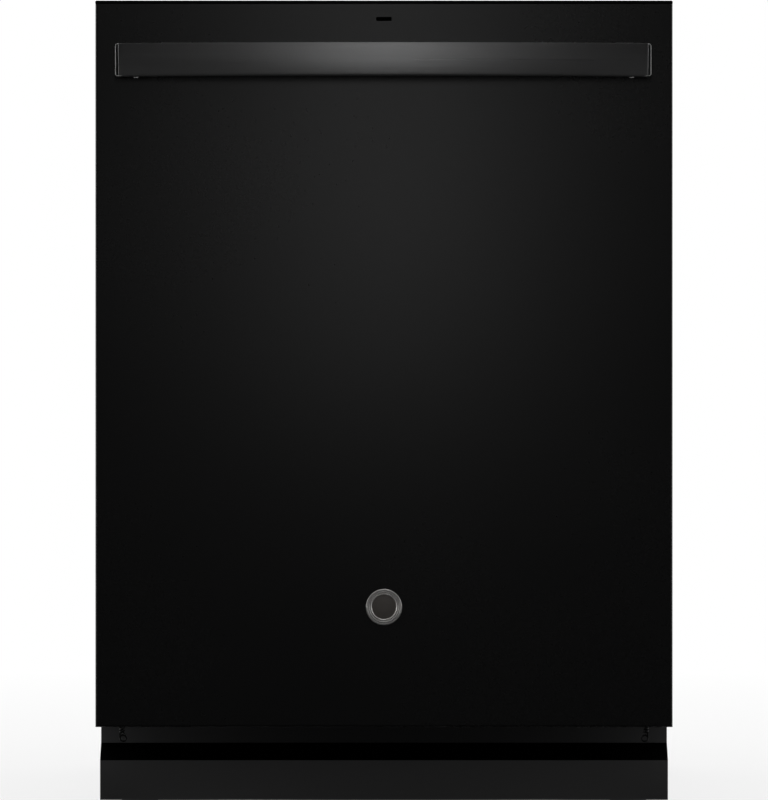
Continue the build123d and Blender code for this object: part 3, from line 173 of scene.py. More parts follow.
def skin(grid, closed=False):
    """Faces over a grid of rings: each ring closes on itself, and the end rings close with fans,
    or join one another where the run of rings is closed."""
    rows, count = grid.shape[:2]
    index = np.arange(rows * count).reshape(rows, count)
    upper = np.roll(index, -1, axis=0) if closed else index[1:]
    lower = index if closed else index[:-1]
    quads = np.stack([lower, np.roll(lower, -1, 1), np.roll(upper, -1, 1), upper], -1).reshape(-1, 4)
    points = grid.reshape(-1, 3)
    if closed:
        return points, quads, np.zeros((0, 3), int)
    centres = np.stack([grid[0].mean(0), grid[-1].mean(0)])
    first, last = index[0], index[-1]
    fans = [
        np.stack([np.roll(first, -1), first, np.full(count, rows * count)], -1),
        np.stack([last, np.roll(last, -1), np.full(count, rows * count + 1)], -1),
    ]
    return np.concatenate([points, centres]), quads, np.concatenate(fans)


def join(parts):
    """Several parts as one, their faces' numbers moved on by the points before them."""
    starts = np.cumsum([0] + [len(points) for points, quads, fans in parts[:-1]])
    points = np.concatenate([part[0] for part in parts])
    quads = np.concatenate([part[1] + start for part, start in zip(parts, starts)])
    fans = np.concatenate([part[2] + start for part, start in zip(parts, starts)])
    return points, quads, fans


def repeat(part, offsets):
    """One part at several offsets."""
    points, quads, fans = part
    return join([(points + np.asarray(offset), quads, fans) for offset in offsets])


def turn(profile, axis, centre, segments=48, closed=True):
    """A profile of (along, radius) pairs turned about an axis through a centre point.

    Each pair goes to centre + along * axis + radius * (cos * one + sin * other) round the circle.
    A closed profile is an outline that joins its own start, and an open one is capped at both ends."""
    profile = np.asarray(profile, float)
    one, other = [np.roll(axis, shift).astype(float) for shift in (1, 2)]
    angle = np.linspace(0, 2 * np.pi, segments, endpoint=False)
    round_it = np.cos(angle)[:, None] * one + np.sin(angle)[:, None] * other
    along = profile[:, 0, None, None] * np.asarray(axis, float)
    return skin(np.asarray(centre) + along + profile[:, 1, None, None] * round_it, closed)


def piece(name, part, material, body, *stands_for):
    """A new piece from a part's points and faces, with its normals outward, riding on a body.

    It stands for the solids that are named, if any."""
    points, quads, fans = part
    mesh = bpy.data.meshes.new(name)
    mesh.from_pydata(points.tolist(), [], quads.tolist() + fans.tolist())
    shell = bmesh.new()
    shell.from_mesh(mesh)
    bmesh.ops.remove_doubles(shell, verts=shell.verts, dist=1e-7)
    bmesh.ops.recalc_face_normals(shell, faces=shell.faces)
    shell.to_mesh(mesh)
    shell.free()
    mesh.shade_smooth()
    mesh.set_sharp_from_angle(angle=SHARP_EDGE)
    mesh.materials.append(material)
    made = bpy.data.objects.new(name, mesh)
    bpy.context.scene.collection.objects.link(made)
    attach(made, body)
    if stands_for:
        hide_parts(*stands_for)
    return made


def foot_stud():
    """A stud with the sawtooth ridges of its thread and a flat tip, turned about its axis."""
    ridges = np.arange(*THREAD_Z, THREAD_PITCH / 2)
    radii = np.where(np.arange(len(ridges)) % 2, THREAD_CREST, THREAD_ROOT)
    shank, tip = [(0.0085, THREAD_CREST)], [(0.074, 0.0035)]
    profile = np.concatenate([shank, np.stack([ridges, radii], -1), tip])
    return turn(profile, (0, 0, 1), (0, 0, 0), 36, closed=False)


def foot_pad():
    """A moulded disc with a rounded rim and a boss that grips the stud."""
    rim = [(0, 0.0185), (0.0012, 0.0197), (0.003, 0.02), (0.0065, 0.0196), (0.008, 0.0175), (0.0085, 0.009)]
    return turn([*rim, (0.0098, 0.008), (0.0104, 0.0062)], (0, 0, 1), (0, 0, 0), 48, closed=False)


def hex_nut(z, across, height):
    """A six-sided nut with its corners taken off: six-point rings, drawn in at both ends."""
    angle = np.arange(6) * np.pi / 3
    rings = np.array([(0, 0.92), (0.1, 1.0), (0.9, 1.0), (1.0, 0.92)])
    around = np.stack([np.cos(angle), np.sin(angle), np.zeros(6)], -1) * across
    return skin(around * rings[:, 1, None, None] + rings[:, 0, None, None] * (0, 0, height) + (0, 0, z))


def moulding(name, dark, pale, rough, depth=0.12, **steady):
    """Moulded plastic: a fine spark-eroded grain in the surface and slow changes of tone and gloss."""
    material, feed, place = start_finish(name, **steady)
    tone = place.noise(22.0, 4.0)
    fine = place.noise(900.0, 2.0)
    feed(
        Base_Color=(tone * 0.7 + fine * 0.3).between(dark, pale),
        Roughness=tone * 0.12 + fine * 0.1 + (rough - 0.11),
        Normal=fine.bump(depth, 0.0002),
    )
    return material


FOOT_STEEL = plated_steel("foot_steel", (0.5, 0.5, 0.49), rough=0.34, scale=40.0)
stud_and_nut = join([foot_stud(), hex_nut(z=0.03195, across=0.009, height=0.008)])
studs = piece("foot_studs", repeat(stud_and_nut, FOOT_SPOTS), FOOT_STEEL, "cabinet", "levelling_feet")
DARK_MOULDING = moulding("dark_moulding", (0.045, 0.045, 0.048), (0.085, 0.085, 0.09), rough=0.5)
pads = piece("foot_pads", repeat(foot_pad(), FOOT_SPOTS), DARK_MOULDING, "cabinet")


# Balance springs
# Coils of drawn steel wire, wound close and hooked at the front to the hinge arms' tail pins.
# They lie along the rails and carry the weight of the door.
def coil(start, turns, length, radius, wire, steps=14, sides=6):
    """A helix along Y; each ring lies in the plane of the radial and the axis of the helix."""
    angle = np.linspace(0, 2 * np.pi * turns, int(turns * steps))
    radial = np.stack([np.cos(angle), np.zeros_like(angle), np.sin(angle)], -1)
    path = np.asarray(start) + radius * radial
    path[:, 1] += angle / angle[-1] * length
    around = np.linspace(0, 2 * np.pi, sides, endpoint=False)
    lift = np.cos(around)[None, :, None] * radial[:, None]
    slide = np.sin(around)[None, :, None] * np.array([0.0, 1.0, 0.0])
    return skin(path[:, None] + wire * (lift + slide))


def sweep(path, profile, across, closed=False):
    """Carries a closed outline along a path in one plane whose normal is the across vector.

    A point (u, v) of the outline goes to path + u * (across x tangent) + v * across; there is one
    outline for the whole path, or one for each of its points."""
    path = np.asarray(path, float)
    profile = np.asarray(profile, float)
    tangent = np.roll(path, -1, 0) - np.roll(path, 1, 0) if closed else np.gradient(path, axis=0)
    tangent /= np.linalg.norm(tangent, axis=1)[:, None]
    across = np.asarray(across, float)
    side = np.cross(across, tangent)
    outline = np.broadcast_to(profile, (len(path), *profile.shape[-2:]))
    return skin(path[:, None] + outline[..., :1] * side[:, None] + outline[..., 1:] * across, closed)


def round_outline(radius, sides=10):
    """A circle as an outline of points."""
    angle = np.linspace(0, 2 * np.pi, sides, endpoint=False)
    return radius * np.stack([np.cos(angle), np.sin(angle)], -1)


def bend(corners, radius, steps=7):
    """A path through corners in one plane, each inner corner an arc that touches both its runs.

    The arc turns from one touching point to the other about its centre on the corner's bisector."""
    corners = np.asarray(corners, float)
    runs = [corners[:1]]
    share = np.linspace(0, 1, steps)[:, None]
    for before, corner, after in zip(corners[:-2], corners[1:-1], corners[2:]):
        back = (before - corner) / np.linalg.norm(before - corner)
        on = (after - corner) / np.linalg.norm(after - corner)
        half = np.arccos(np.clip(back @ on, -1, 1)) / 2
        middle = (back + on) / np.linalg.norm(back + on)
        centre = corner + middle * radius / np.sin(half)
        first = corner + back * radius / np.tan(half) - centre
        last = corner + on * radius / np.tan(half) - centre
        angle = np.pi - 2 * half
        arc = (np.sin((1 - share) * angle) * first + np.sin(share * angle) * last) / np.sin(angle)
        runs.append(centre + arc)
    runs.append(corners[-1:])
    return np.concatenate(runs)


SPRING_WIRE = 0.0011
SPRING_COIL = 0.0039
SPRING_TURNS = 84
SPRING_X = 0.285
SPRING_Y = (-0.1665, 0.063)
SPRING_Z = 0.100
LEAD_ENDS = (-0.1995, 0.0745)
LEAD_OVERLAP = 0.002


def spring(x):
    """A close coil with a straight lead from its axis at each end."""
    front, back = SPRING_Y
    parts = [coil((x, front, SPRING_Z), SPRING_TURNS, back - front, SPRING_COIL, SPRING_WIRE)]
    for start, end in ((LEAD_ENDS[0], front + LEAD_OVERLAP), (back - LEAD_OVERLAP, LEAD_ENDS[1])):
        lead = [(x, start, SPRING_Z), (x, end, SPRING_Z)]
        parts.append(sweep(lead, round_outline(SPRING_WIRE), (1, 0, 0)))
    return join(parts)


DRAWN_WIRE = plated_steel("drawn_wire", (0.36, 0.36, 0.36), rough=0.3, scale=60.0)
both_springs = join([spring(-SPRING_X), spring(SPRING_X)])
springs = piece("door_springs", both_springs, DRAWN_WIRE, "cabinet", "balance_springs")


# Tub
# A deep-drawn box of stainless sheet with pressed beads in its walls and a dished floor.
# The brushing of the sheet runs level round the walls.
BRUSHED_LEVEL = (0.04, 0.04, 4.0)


def brushed_stainless(name, colour, rough, stretch, metallic):
    """Fine streaks along the brushing in the tone and gloss, over broad faint clouds of drawing marks."""
    material, feed, place = start_finish(name, Metallic=metallic)
    streak = place.noise(150.0, 3.0, stretch)
    cloud = place.noise(5.0, 2.0)
    darker = tuple(0.86 * part for part in colour)
    feed(
        Base_Color=(streak * 0.65 + cloud * 0.35).between(darker, colour),
        Roughness=streak * 0.1 + cloud * 0.1 + (rough - 0.1),
        Normal=streak.bump(0.02, 0.0002),
    )
    return material


TUB_STEEL = brushed_stainless("tub_steel", (0.62, 0.62, 0.61), 0.36, BRUSHED_LEVEL, metallic=0.5)
dress(TUB_STEEL, "tub")


# Damping pads
# Sheets of filled bitumen, stuck hot to the tub so that it doesn't drum.
# They are dull and pebbled from the rollers that press them.
def bitumen_sheet():
    """A pebbled roller grain on a dull dark grey, with paler dusty patches."""
    material, feed, place = start_finish("bitumen_sheet")
    pebble = place.node("TexVoronoi", {"feature": "SMOOTH_F1"}, {"Vector": place, "Scale": 260.0})
    dust = place.noise(7.0, 5.0)
    feed(
        Base_Color=(dust * 0.8 + pebble * 0.3).between((0.05, 0.05, 0.052), (0.13, 0.128, 0.125)),
        Roughness=dust * 0.15 + 0.7,
        Normal=pebble.bump(0.5, 0.0008),
    )
    return material


dress(bitumen_sheet(), "damping_pads")


# Tub gasket
# An extruded rubber seal, pushed into the tub's mouth round its sides and top.
# Its soft bulb is pressed by the door, and its flat back lies on the flange.
SEAL_X = 0.2735
SEAL_Y = -0.2373
SEAL_TOP = 0.8225
SEAL_BOTTOM = 0.1332
SEAL_BEND = 0.014
SEAL_HALF = 0.0043
SEAL_BACK = 0.0042


def seal_outline():
    """A round bulb to the front and a flat back: a circle swelled at its sides by a wave of twice its
    angle, whose rear half is flattened by a hyperbolic tangent."""
    angle = np.linspace(0, 2 * np.pi, 28, endpoint=False)
    back = np.cos(angle)
    lobe = SEAL_HALF * np.sin(angle) * (1 - 0.16 * np.cos(2 * angle))
    deep = np.where(back > 0, SEAL_BACK * np.tanh(2.4 * back), SEAL_HALF * back)
    return np.stack([lobe, deep], -1)


def seal_rubber():
    """Dull extruded rubber, with faint length-wise draw lines and a bloom of paler grey."""
    material, feed, place = start_finish("seal_rubber")
    bloom = place.noise(18.0, 4.0)
    lines = place.noise(500.0, 2.0, (1.0, 1.0, 0.05))
    feed(
        Base_Color=bloom.between((0.085, 0.085, 0.09), (0.15, 0.15, 0.155)),
        Roughness=bloom * 0.12 + 0.58,
        Normal=lines.bump(0.1, 0.0002),
    )
    return material


seal_route = [
    (-SEAL_X, SEAL_Y, SEAL_BOTTOM),
    (-SEAL_X, SEAL_Y, SEAL_TOP),
    (SEAL_X, SEAL_Y, SEAL_TOP),
    (SEAL_X, SEAL_Y, SEAL_BOTTOM),
]
seal_shape = sweep(bend(seal_route, SEAL_BEND, 12), seal_outline(), (0, 1, 0))
seal = piece("mouth_seal", seal_shape, seal_rubber(), "cabinet", "tub_gasket")


# Sump, pumps and inlet valve
# Dark glass-filled mouldings under the tub, clamped together with rubber between.
# The grain of the filler shows as a fine mottle. The door's latch is of the same stuff.
dress(DARK_MOULDING, "sump", "circulation_pump", "drain_pump", "inlet_valve", "door_latch")


# Filter
# A cup of woven stainless mesh in a moulded frame, dropped into the sump's well and turned to lock.
# The weave is finer than a millimetre.
def filter_weave():
    """Two crossed sets of fine bands round the cup, with painted shade between the wires, where the weave's
    gaps are.
    """
    material, feed, place = start_finish("filter_weave", Metallic=0.6)
    rows = place.node("TexWave", {"bands_direction": "Z"}, {"Vector": place, "Scale": 260.0})
    columns = place.node("TexWave", {"bands_direction": "DIAGONAL"}, {"Vector": place, "Scale": 200.0})
    weave = rows * 0.5 + columns * 0.5
    feed(
        # The dark between the wires is painted shade, standing in for the gaps of the weave.
        Base_Color=weave.between((0.07, 0.07, 0.075), (0.34, 0.34, 0.35)),
        Roughness=0.6 - weave * 0.2,
        Normal=weave.bump(0.35, 0.0004),
    )
    return material


dress(filter_weave(), "filter_basket")


# Heater
# A stainless tube packed with its heating wire, bent to an open ring over the dish.
# Heat has tinted the steel in straw and bluish patches.
def heated_steel():
    """Steel whose tone drifts between a bluish grey and straw in slow patches."""
    material, feed, place = start_finish("heated_steel", Metallic=1.0)
    patch = place.noise(9.0, 3.0)
    straw = patch.ramp(0.42, 0.7)
    feed(
        Base_Color=straw.between((0.36, 0.36, 0.38), (0.46, 0.38, 0.27)),
        Roughness=patch * 0.2 + 0.24,
        Normal=place.noise(700.0, 2.0).bump(0.05, 0.0002),
    )
    return material


dress(heated_steel(), "heater")


# Feed tube, spray arms and rail guides
# Pale grey mouldings of filled polypropylene, welded from two halves and clipped to the tub.
# The spray arms turn freely on their posts as the jets push them.
PALE_MOULDING = moulding("pale_moulding", (0.3, 0.31, 0.33), (0.39, 0.4, 0.42), rough=0.46)
dress(PALE_MOULDING, "feed_tube", "upper_feed_pipe", "lower_spray_arm", "middle_spray_arm", "rail_guides")


# Rack rails
# Rolled stainless channels that run on the guides, one on each wall, bright where they slide.
# Each holds the upper rack's wheels captive in its groove.
DRAWN_LENGTHWISE = (1.0, 0.03, 1.0)
RAIL_STEEL = brushed_stainless("rail_steel", (0.58, 0.58, 0.57), 0.28, DRAWN_LENGTHWISE, metallic=0.85)
dress(RAIL_STEEL, "rack_rail_left", "rack_rail_right")


# Lower rack
# Bent and welded steel wire in a thick grey nylon coat: U-shaped wires both ways, two hoops
# round them, rows of tines, and plates that carry the wheels.
WIRE = 0.002
WIRE_BEND = 0.014
HOOP = 0.0025
HOOP_BEND = 0.03
ROD_PAST_TINE = 0.008
PLATE_THICK = 0.004
PLATE_HALF_WIDTH = 0.010
PLATE_CORNER = 0.006
PLATE_EDGE = 0.0008
AXLE_EDGE = 0.0006


def nylon_coat():
    """A thick, slightly uneven coat with a soft gloss."""
    material, feed, place = start_finish("nylon_coat", Coat_Weight=0.25, Coat_Roughness=0.3)
    tone = place.noise(30.0, 3.0)
    ripple = place.noise(180.0, 2.0)
    feed(
        Base_Color=tone.between((0.36, 0.38, 0.4), (0.47, 0.49, 0.51)),
        Roughness=tone * 0.14 + 0.33,
        Normal=ripple.bump(0.12, 0.0005),
    )
    return material


def rounded_rectangle(half_x, half_y, radius, steps=8):
    """A closed outline: quarter circles about the four inset corners."""
    angle = np.linspace(0, np.pi / 2, steps)
    quarters = np.arange(4)[:, None] * np.pi / 2 + angle
    signs = np.array([(1, 1), (-1, 1), (-1, -1), (1, -1)])
    corner = signs * (half_x - radius, half_y - radius)
    arcs = radius * np.stack([np.cos(quarters), np.sin(quarters)], -1)
    return (corner[:, None] + arcs).reshape(-1, 2)


def slab(x, y, z, corner, edge, along):
    """A plate with rounded corners and softened edges, its thickness along one axis.

    Rings of the outline are drawn in by the edge at both ends."""
    limits = np.array([x, y, z], float)
    flat = [axis for axis in range(3) if axis != along]
    half = (limits[flat, 1] - limits[flat, 0]) / 2
    low, high = limits[along]
    rings = []
    for inset, height in ((edge, low), (0, low + edge), (0, high - edge), (edge, high)):
        outline = limits[flat].mean(1) + rounded_rectangle(*(half - inset), corner - inset)
        rings.append(np.insert(outline, along, height, axis=1))
    return skin(np.array(rings))


def tine(length):
    """An upright prong: a straight wire whose tip is a half ball."""
    angle = np.radians([0, 25, 50, 70, 82])
    heights = np.concatenate([[0.0], length - WIRE + WIRE * np.sin(angle)])
    radii = np.concatenate([[WIRE], WIRE * np.cos(angle)])
    return turn(np.stack([heights, radii], -1), (0, 0, 1), (0, 0, 0), 8, closed=False)


def wire_basket(half, front, back, stations, lines, floor, rim, hoop):
    """The open basket of a rack: U-wires across and along, and two closed hoops outside them."""
    top = rim - WIRE
    second = floor + 2 * WIRE
    thin = round_outline(WIRE)
    across = bend([(-half, 0, top), (-half, 0, floor), (half, 0, floor), (half, 0, top)], WIRE_BEND)
    along = bend([(0, front, top), (0, front, second), (0, back, second), (0, back, top)], WIRE_BEND)
    outside = WIRE + HOOP
    middle = (front + back) / 2
    ring = rounded_rectangle(half + outside, (back - front) / 2 + outside, HOOP_BEND, 10)
    path = np.concatenate([ring + (0, middle), np.zeros((len(ring), 1))], 1)
    hoops = sweep(path, round_outline(HOOP, 12), (0, 0, 1), closed=True)
    return [
        repeat(sweep(across, thin, (0, 1, 0)), [(0, y, 0) for y in stations[1:-1]]),
        repeat(sweep(along, thin, (1, 0, 0)), [(x, 0, 0) for x in lines[1:-1]]),
        repeat(hoops, [(0, 0, hoop), (0, 0, rim - WIRE - HOOP)]),
    ]


def tine_row(x, ys, z, length):
    """A rod along the rack with a prong at each place."""
    ends = [(x, ys[0] - ROD_PAST_TINE, z), (x, ys[-1] + ROD_PAST_TINE, z)]
    rod = sweep(ends, round_outline(WIRE), (1, 0, 0))
    return [rod, repeat(tine(length + WIRE), [(x, y, z) for y in ys])]


def about(middle, half):
    """The two limits that lie a half width to both sides of a middle."""
    return middle - half, middle + half


def wheel_plates(y, axle_z, z, face, axle, reach):
    """A plate on each side of the rack, and the stub axle that stands out of it."""
    parts = []
    tip = reach - face
    for side in (-1, 1):
        plate = sorted((side * face, side * (face + PLATE_THICK)))
        parts.append(slab(plate, about(y, PLATE_HALF_WIDTH), z, PLATE_CORNER, PLATE_EDGE, along=0))
        stub = np.array([(0, axle), (tip - AXLE_EDGE, axle), (tip, axle - AXLE_EDGE)]) * (side, 1)
        parts.append(turn(stub, (1, 0, 0), (side * face, y, axle_z), 24, closed=False))
    return parts


RACK_Y = (-0.208, 0.250)
LOWER_HALF = 0.228
LOWER_HEIGHTS = {"floor": 0.160, "rim": 0.296, "hoop": 0.224}
LOWER_STATIONS = np.linspace(*RACK_Y, 11)
LOWER_LINES = np.linspace(-LOWER_HALF, LOWER_HALF, 9)
LOWER_AXLES = {"front": LOWER_STATIONS[3], "rear": LOWER_STATIONS[9]}
LOWER_AXLE_Z = 0.1353
LOWER_PLATE_Z = (0.1273, 0.184)
TINE_YS = np.linspace(-0.095, 0.225, 9)
TINE_Z = 0.16405
TINE_LENGTH = 0.070
FOLD_X = 0.1425
FOLD_Z = 0.16835
CLIP_Z = (0.16205, 0.1662)
LUG_RADIUS = 0.0033
LUG_HALF = (0.0030, 0.0012)


def clip_lug(y):
    """A lug that the folding rod turns in: an oval outline turned about the rod."""
    oval = round_outline(1.0) * LUG_HALF + (0, LUG_RADIUS)
    return turn(oval, (0, 1, 0), (FOLD_X, y, FOLD_Z), 24)


NYLON = nylon_coat()
lower_wires = wire_basket(LOWER_HALF, *RACK_Y, LOWER_STATIONS, LOWER_LINES, **LOWER_HEIGHTS)
for x in (LOWER_LINES[1:5] + LOWER_LINES[2:6]) / 2:
    lower_wires += tine_row(x, TINE_YS, TINE_Z, TINE_LENGTH)
for y in LOWER_AXLES.values():
    lower_wires += wheel_plates(y, LOWER_AXLE_Z, LOWER_PLATE_Z, face=0.23005, axle=0.004, reach=0.247)
    clip = slab(about(FOLD_X, 0.005), about(y, 0.004), CLIP_Z, corner=0.002, edge=0.0006, along=1)
    lower_wires += [clip, clip_lug(y)]
lower = piece("lower_wire_rack", join(lower_wires), NYLON, "lower_rack", "lower_rack")


# Fold-down tines
# One row of tines welded to a rod of its own, in the same nylon coat as the rack.
# The rod turns in the rack's clips, so the row can lie flat for pots.
fold_row = tine_row(FOLD_X, TINE_YS, FOLD_Z, TINE_LENGTH)
fold = piece("folding_tine_row", join(fold_row), NYLON, "fold_tines", "fold_tines")


# Upper rack
# A shallower basket of the same coated wire, with short tines for cups.
# It hangs on four wheels in the rails' channels.
UPPER_HALF = 0.205
UPPER_HEIGHTS = {"floor": 0.590, "rim": 0.694, "hoop": 0.666}
UPPER_STATIONS = np.linspace(*RACK_Y, 10)
UPPER_LINES = np.linspace(-UPPER_HALF, UPPER_HALF, 8)
UPPER_AXLES = {"front": UPPER_STATIONS[5], "rear": UPPER_STATIONS[8]}
RAIL_Z = 0.640
UPPER_PLATE_Z = about(RAIL_Z, 0.014)
CUP_TINE_YS = np.linspace(-0.150, 0.200, 6)
CUP_TINE_Z = 0.59405
CUP_TINE_LENGTH = 0.048

upper_wires = wire_basket(UPPER_HALF, *RACK_Y, UPPER_STATIONS, UPPER_LINES, **UPPER_HEIGHTS)
for x in (UPPER_LINES[1:6] + UPPER_LINES[2:7]) / 2:
    upper_wires += tine_row(x, CUP_TINE_YS, CUP_TINE_Z, CUP_TINE_LENGTH)
for y in UPPER_AXLES.values():
    upper_wires += wheel_plates(y, RAIL_Z, UPPER_PLATE_Z, face=0.20705, axle=0.003, reach=0.2423)
upper = piece("upper_wire_rack", join(upper_wires), NYLON, "upper_rack", "upper_rack")


# Rack wheels
# Mouldings of pale acetal with a crowned tread, a thin web and a hub.
# They snap on to the stub axles of both racks.
def wheel(side, x, y, z, radius, bore, width):
    """A tread, a drawn-in web and a hub, as a closed outline turned about the axle."""
    rim = radius - 0.16 * radius
    hub = bore + 0.28 * (radius - bore)
    web = 0.22 * width
    outline = [
        (0, bore), (0, hub), (web, hub + 0.0006), (web, rim - 0.0006), (0, rim), (0, radius - 0.0012),
        (0.0012, radius - 0.0001), (width / 2, radius), (width - 0.0012, radius - 0.0001),
        (width, radius - 0.0012), (width, rim), (width - web, rim - 0.0006),
        (width - web, hub + 0.0006), (width, hub), (width, bore),
    ]
    return turn(np.array(outline) * (side, 1), (1, 0, 0), (side * x, y, z))


ACETAL = moulding("acetal_wheel", (0.4, 0.41, 0.42), (0.5, 0.51, 0.52), rough=0.4)
LOWER_WHEEL = {"x": 0.236, "z": LOWER_AXLE_Z, "radius": 0.017, "bore": 0.00406, "width": 0.010}
UPPER_WHEEL = {"x": 0.2373, "z": RAIL_Z, "radius": 0.0087, "bore": 0.00306, "width": 0.005}
for rack, axles, sizes in (("lower", LOWER_AXLES, LOWER_WHEEL), ("upper", UPPER_AXLES, UPPER_WHEEL)):
    for end, y in axles.items():
        pair = join([wheel(side, y=y, **sizes) for side in (-1, 1)])
        body = f"{rack}_wheels_{end}"
        rollers = piece(f"{rack}_rollers_{end}", pair, ACETAL, body, body)


# Silverware basket
# A slatted polypropylene moulding with four bays and a carrying handle.
# It stands loose in the lower rack.
BASKET_GREY = moulding("basket_moulding", (0.33, 0.34, 0.36), (0.43, 0.44, 0.46), rough=0.5)
dress(BASKET_GREY, "silverware_basket")


# Access panel and toe kick
# Two bent steel sheets that close the base, screwed to the rails.
# Their black enamel is sprayed and baked, with a faint orange peel; on the kick's bevel it is painted a dull
# near-black, as shade under the door's overhang.
DARK_BAND_BLACK = (0.0008, 0.0008, 0.0008)
DARK_BAND_FADE = 0.0005
KICK_SHADE_Z = 0.0479


def black_enamel(name, dark, pale, rough, peel, dark_band_above=None, **steady):
    """A deep black with slow changes of tone, fine dust in its gloss and the dimples of sprayed paint.

    Above a given height, if one is given, it paints a dull near-black band that reflects nothing: painted
    shade on the kick's bevel, and a dark line along the door's top edge."""
    material, feed, place = start_finish(name, **steady)
    tone = place.noise(3.0, 3.0)
    dust = place.noise(130.0, 3.0)
    dimples = place.noise(420.0, 2.0)
    colour = tone.between(dark, pale)
    dullness = tone * 0.04 + dust * 0.02 + (rough - 0.03)
    if dark_band_above is not None:
        height = place.node("SeparateXYZ", None, {0: place}, 2)
        # The painted near-black band above the given height, with no reflection.
        dark_band = height.ramp(dark_band_above, dark_band_above + DARK_BAND_FADE)
        colour = dark_band.between(colour, DARK_BAND_BLACK)
        dullness = dullness + dark_band * 0.4
        feed(Metallic=dark_band)
    feed(Base_Color=colour, Roughness=dullness, Normal=dimples.bump(peel, 0.0001))
    return material


ACCESS_BLACK = (0.0042, 0.0042, 0.0043), (0.0052, 0.0052, 0.0053)
KICK_BLACK = (0.0132, 0.0132, 0.0135), (0.0156, 0.0156, 0.0159)
ACCESS_ENAMEL = black_enamel("access_enamel", *ACCESS_BLACK, rough=0.5, peel=0.02, Specular_IOR_Level=0.1)
# Above the bevel's height the kick is painted near-black: painted shade from the door's overhang.
KICK_ENAMEL = black_enamel("kick_enamel", *KICK_BLACK, rough=0.45, peel=0.02, dark_band_above=KICK_SHADE_Z)
dress(ACCESS_ENAMEL, "access_panel")
dress(KICK_ENAMEL, "toe_kick")


# Pull loops
# Eyes of bent, blackened wire with a few turns wound above them, each on a sleeve round a tail pin.
# They hang from the hinge arms and show below the door's lower corners.
LOOP_X = 0.2772
LOOP_Z = 0.0715
LOOP_EYE = 0.0033
LOOP_WIRE = 0.00085
PIN_Y = -0.204
PIN_Z = 0.100
STEM_TOP = PIN_Z - 0.0038
WOUND_X = LOOP_X + 0.0011
WOUND_Z = (0.0768, 0.0852)
WOUND_RADIUS = 0.0022


def wire_eye(x):
    """A ring of round wire: a small circle turned about the eye's axis."""
    return turn(round_outline(LOOP_WIRE, 12) + (0, LOOP_EYE), (0, 1, 0), (x, PIN_Y, LOOP_Z), 40)


def wound_turns(x):
    """A helix of three turns that stands upright: a level one with two of its axes swapped."""
    low, high = WOUND_Z
    points, quads, fans = coil((x, low, PIN_Y), 3, high - low, WOUND_RADIUS, LOOP_WIRE, 18, 8)
    return points[:, [0, 2, 1]], quads, fans


def pin_sleeve(x):
    """A short tube with softened outer edges, as a closed outline turned about the pin."""
    half = [(0.003, 0.00306), (0.003, 0.0046), (0.0026, 0.005)]
    outline = [(-along, radius) for along, radius in half] + half[::-1]
    return turn(outline, (1, 0, 0), (x, PIN_Y, PIN_Z), 32)


loop_parts = []
for side in (-1, 1):
    stem_x = side * (LOOP_X + LOOP_EYE)
    stem = [(stem_x, PIN_Y, LOOP_Z), (stem_x, PIN_Y, STEM_TOP)]
    loop_parts += [
        wound_turns(side * WOUND_X),
        wire_eye(side * LOOP_X),
        sweep(stem, round_outline(LOOP_WIRE, 12), (0, 1, 0)),
        pin_sleeve(side * LOOP_X),
    ]
WIRE_BLACK = (0.0008, 0.0008, 0.0008), (0.0016, 0.0016, 0.0016)
BLACK_WIRE = black_enamel("black_wire", *WIRE_BLACK, rough=0.35, peel=0.02, Specular_IOR_Level=0.3)
loops = piece("wire_pull_loops", join(loop_parts), BLACK_WIRE, "pull_loops", "pull_loops")


# Hinge arms
# Thick stamped steel plates in the door's lower corners, plated against rust.
# They turn on the brackets' pins and carry the door.
dress(ZINC, "hinge_arm_left", "hinge_arm_right")


# Door liner
# A pressed stainless pan that closes the tub, brushed level.
# A row of plated screws fixes its rim to the outer panel.
LINER_STEEL = brushed_stainless("liner_steel", (0.5, 0.5, 0.49), 0.36, BRUSHED_LEVEL, metallic=0.85)
dress(LINER_STEEL, "door_liner")
SCREW_STEEL = plated_steel("screw_steel", (0.62, 0.62, 0.61), rough=0.3, scale=300.0, metallic=0.6)
dress(SCREW_STEEL, "liner_screws", "handle_set_screws")


# Dispenser and vent
# Mouldings snapped into the liner: the grey detergent cup with its sliding cover, the blue cap of
# the rinse aid, which turns a quarter, and the slatted grey cover of the drying vent.
DISPENSER_GREY = moulding("dispenser_grey", (0.34, 0.35, 0.37), (0.42, 0.43, 0.45), rough=0.42)
dress(DISPENSER_GREY, "dispenser_body", "vent_cover")
dress(moulding("cover_grey", (0.4, 0.41, 0.43), (0.48, 0.49, 0.51), rough=0.36), "dispenser_cover")
dress(moulding("cap_blue", (0.08, 0.16, 0.3), (0.11, 0.21, 0.38), rough=0.38), "rinse_aid_cap")


# Console, keys and board
# A black moulded cap along the door's top edge with five press keys and a smoked display lens.
# A lacquered circuit board under it carries the key switches. A small dark window for the status
# light is set in a slot of the door's front.
CAP_TONES = (0.0008, 0.0008, 0.0009), (0.0016, 0.0016, 0.0017)
KEY_TONES = (0.03, 0.03, 0.033), (0.045, 0.045, 0.05)
LENS_TONES = (0.002, 0.002, 0.0024), (0.004, 0.004, 0.0046)
WINDOW_TONES = (0.0006, 0.0006, 0.0007), (0.0012, 0.0012, 0.0013)
dress(moulding("console_black", *CAP_TONES, rough=0.5, Specular_IOR_Level=0.05), "control_console")
KEY_BLACK = moulding("key_black", *KEY_TONES, rough=0.3, depth=0.05)
dress(KEY_BLACK, "start_key", "cycle_key", "heat_key", "dry_key", "delay_key")
dress(moulding("smoked_lens", *LENS_TONES, rough=0.16, depth=0.01), "display_lens")
dress(moulding("window_black", *WINDOW_TONES, rough=0.5, Metallic=1.0), "status_window")


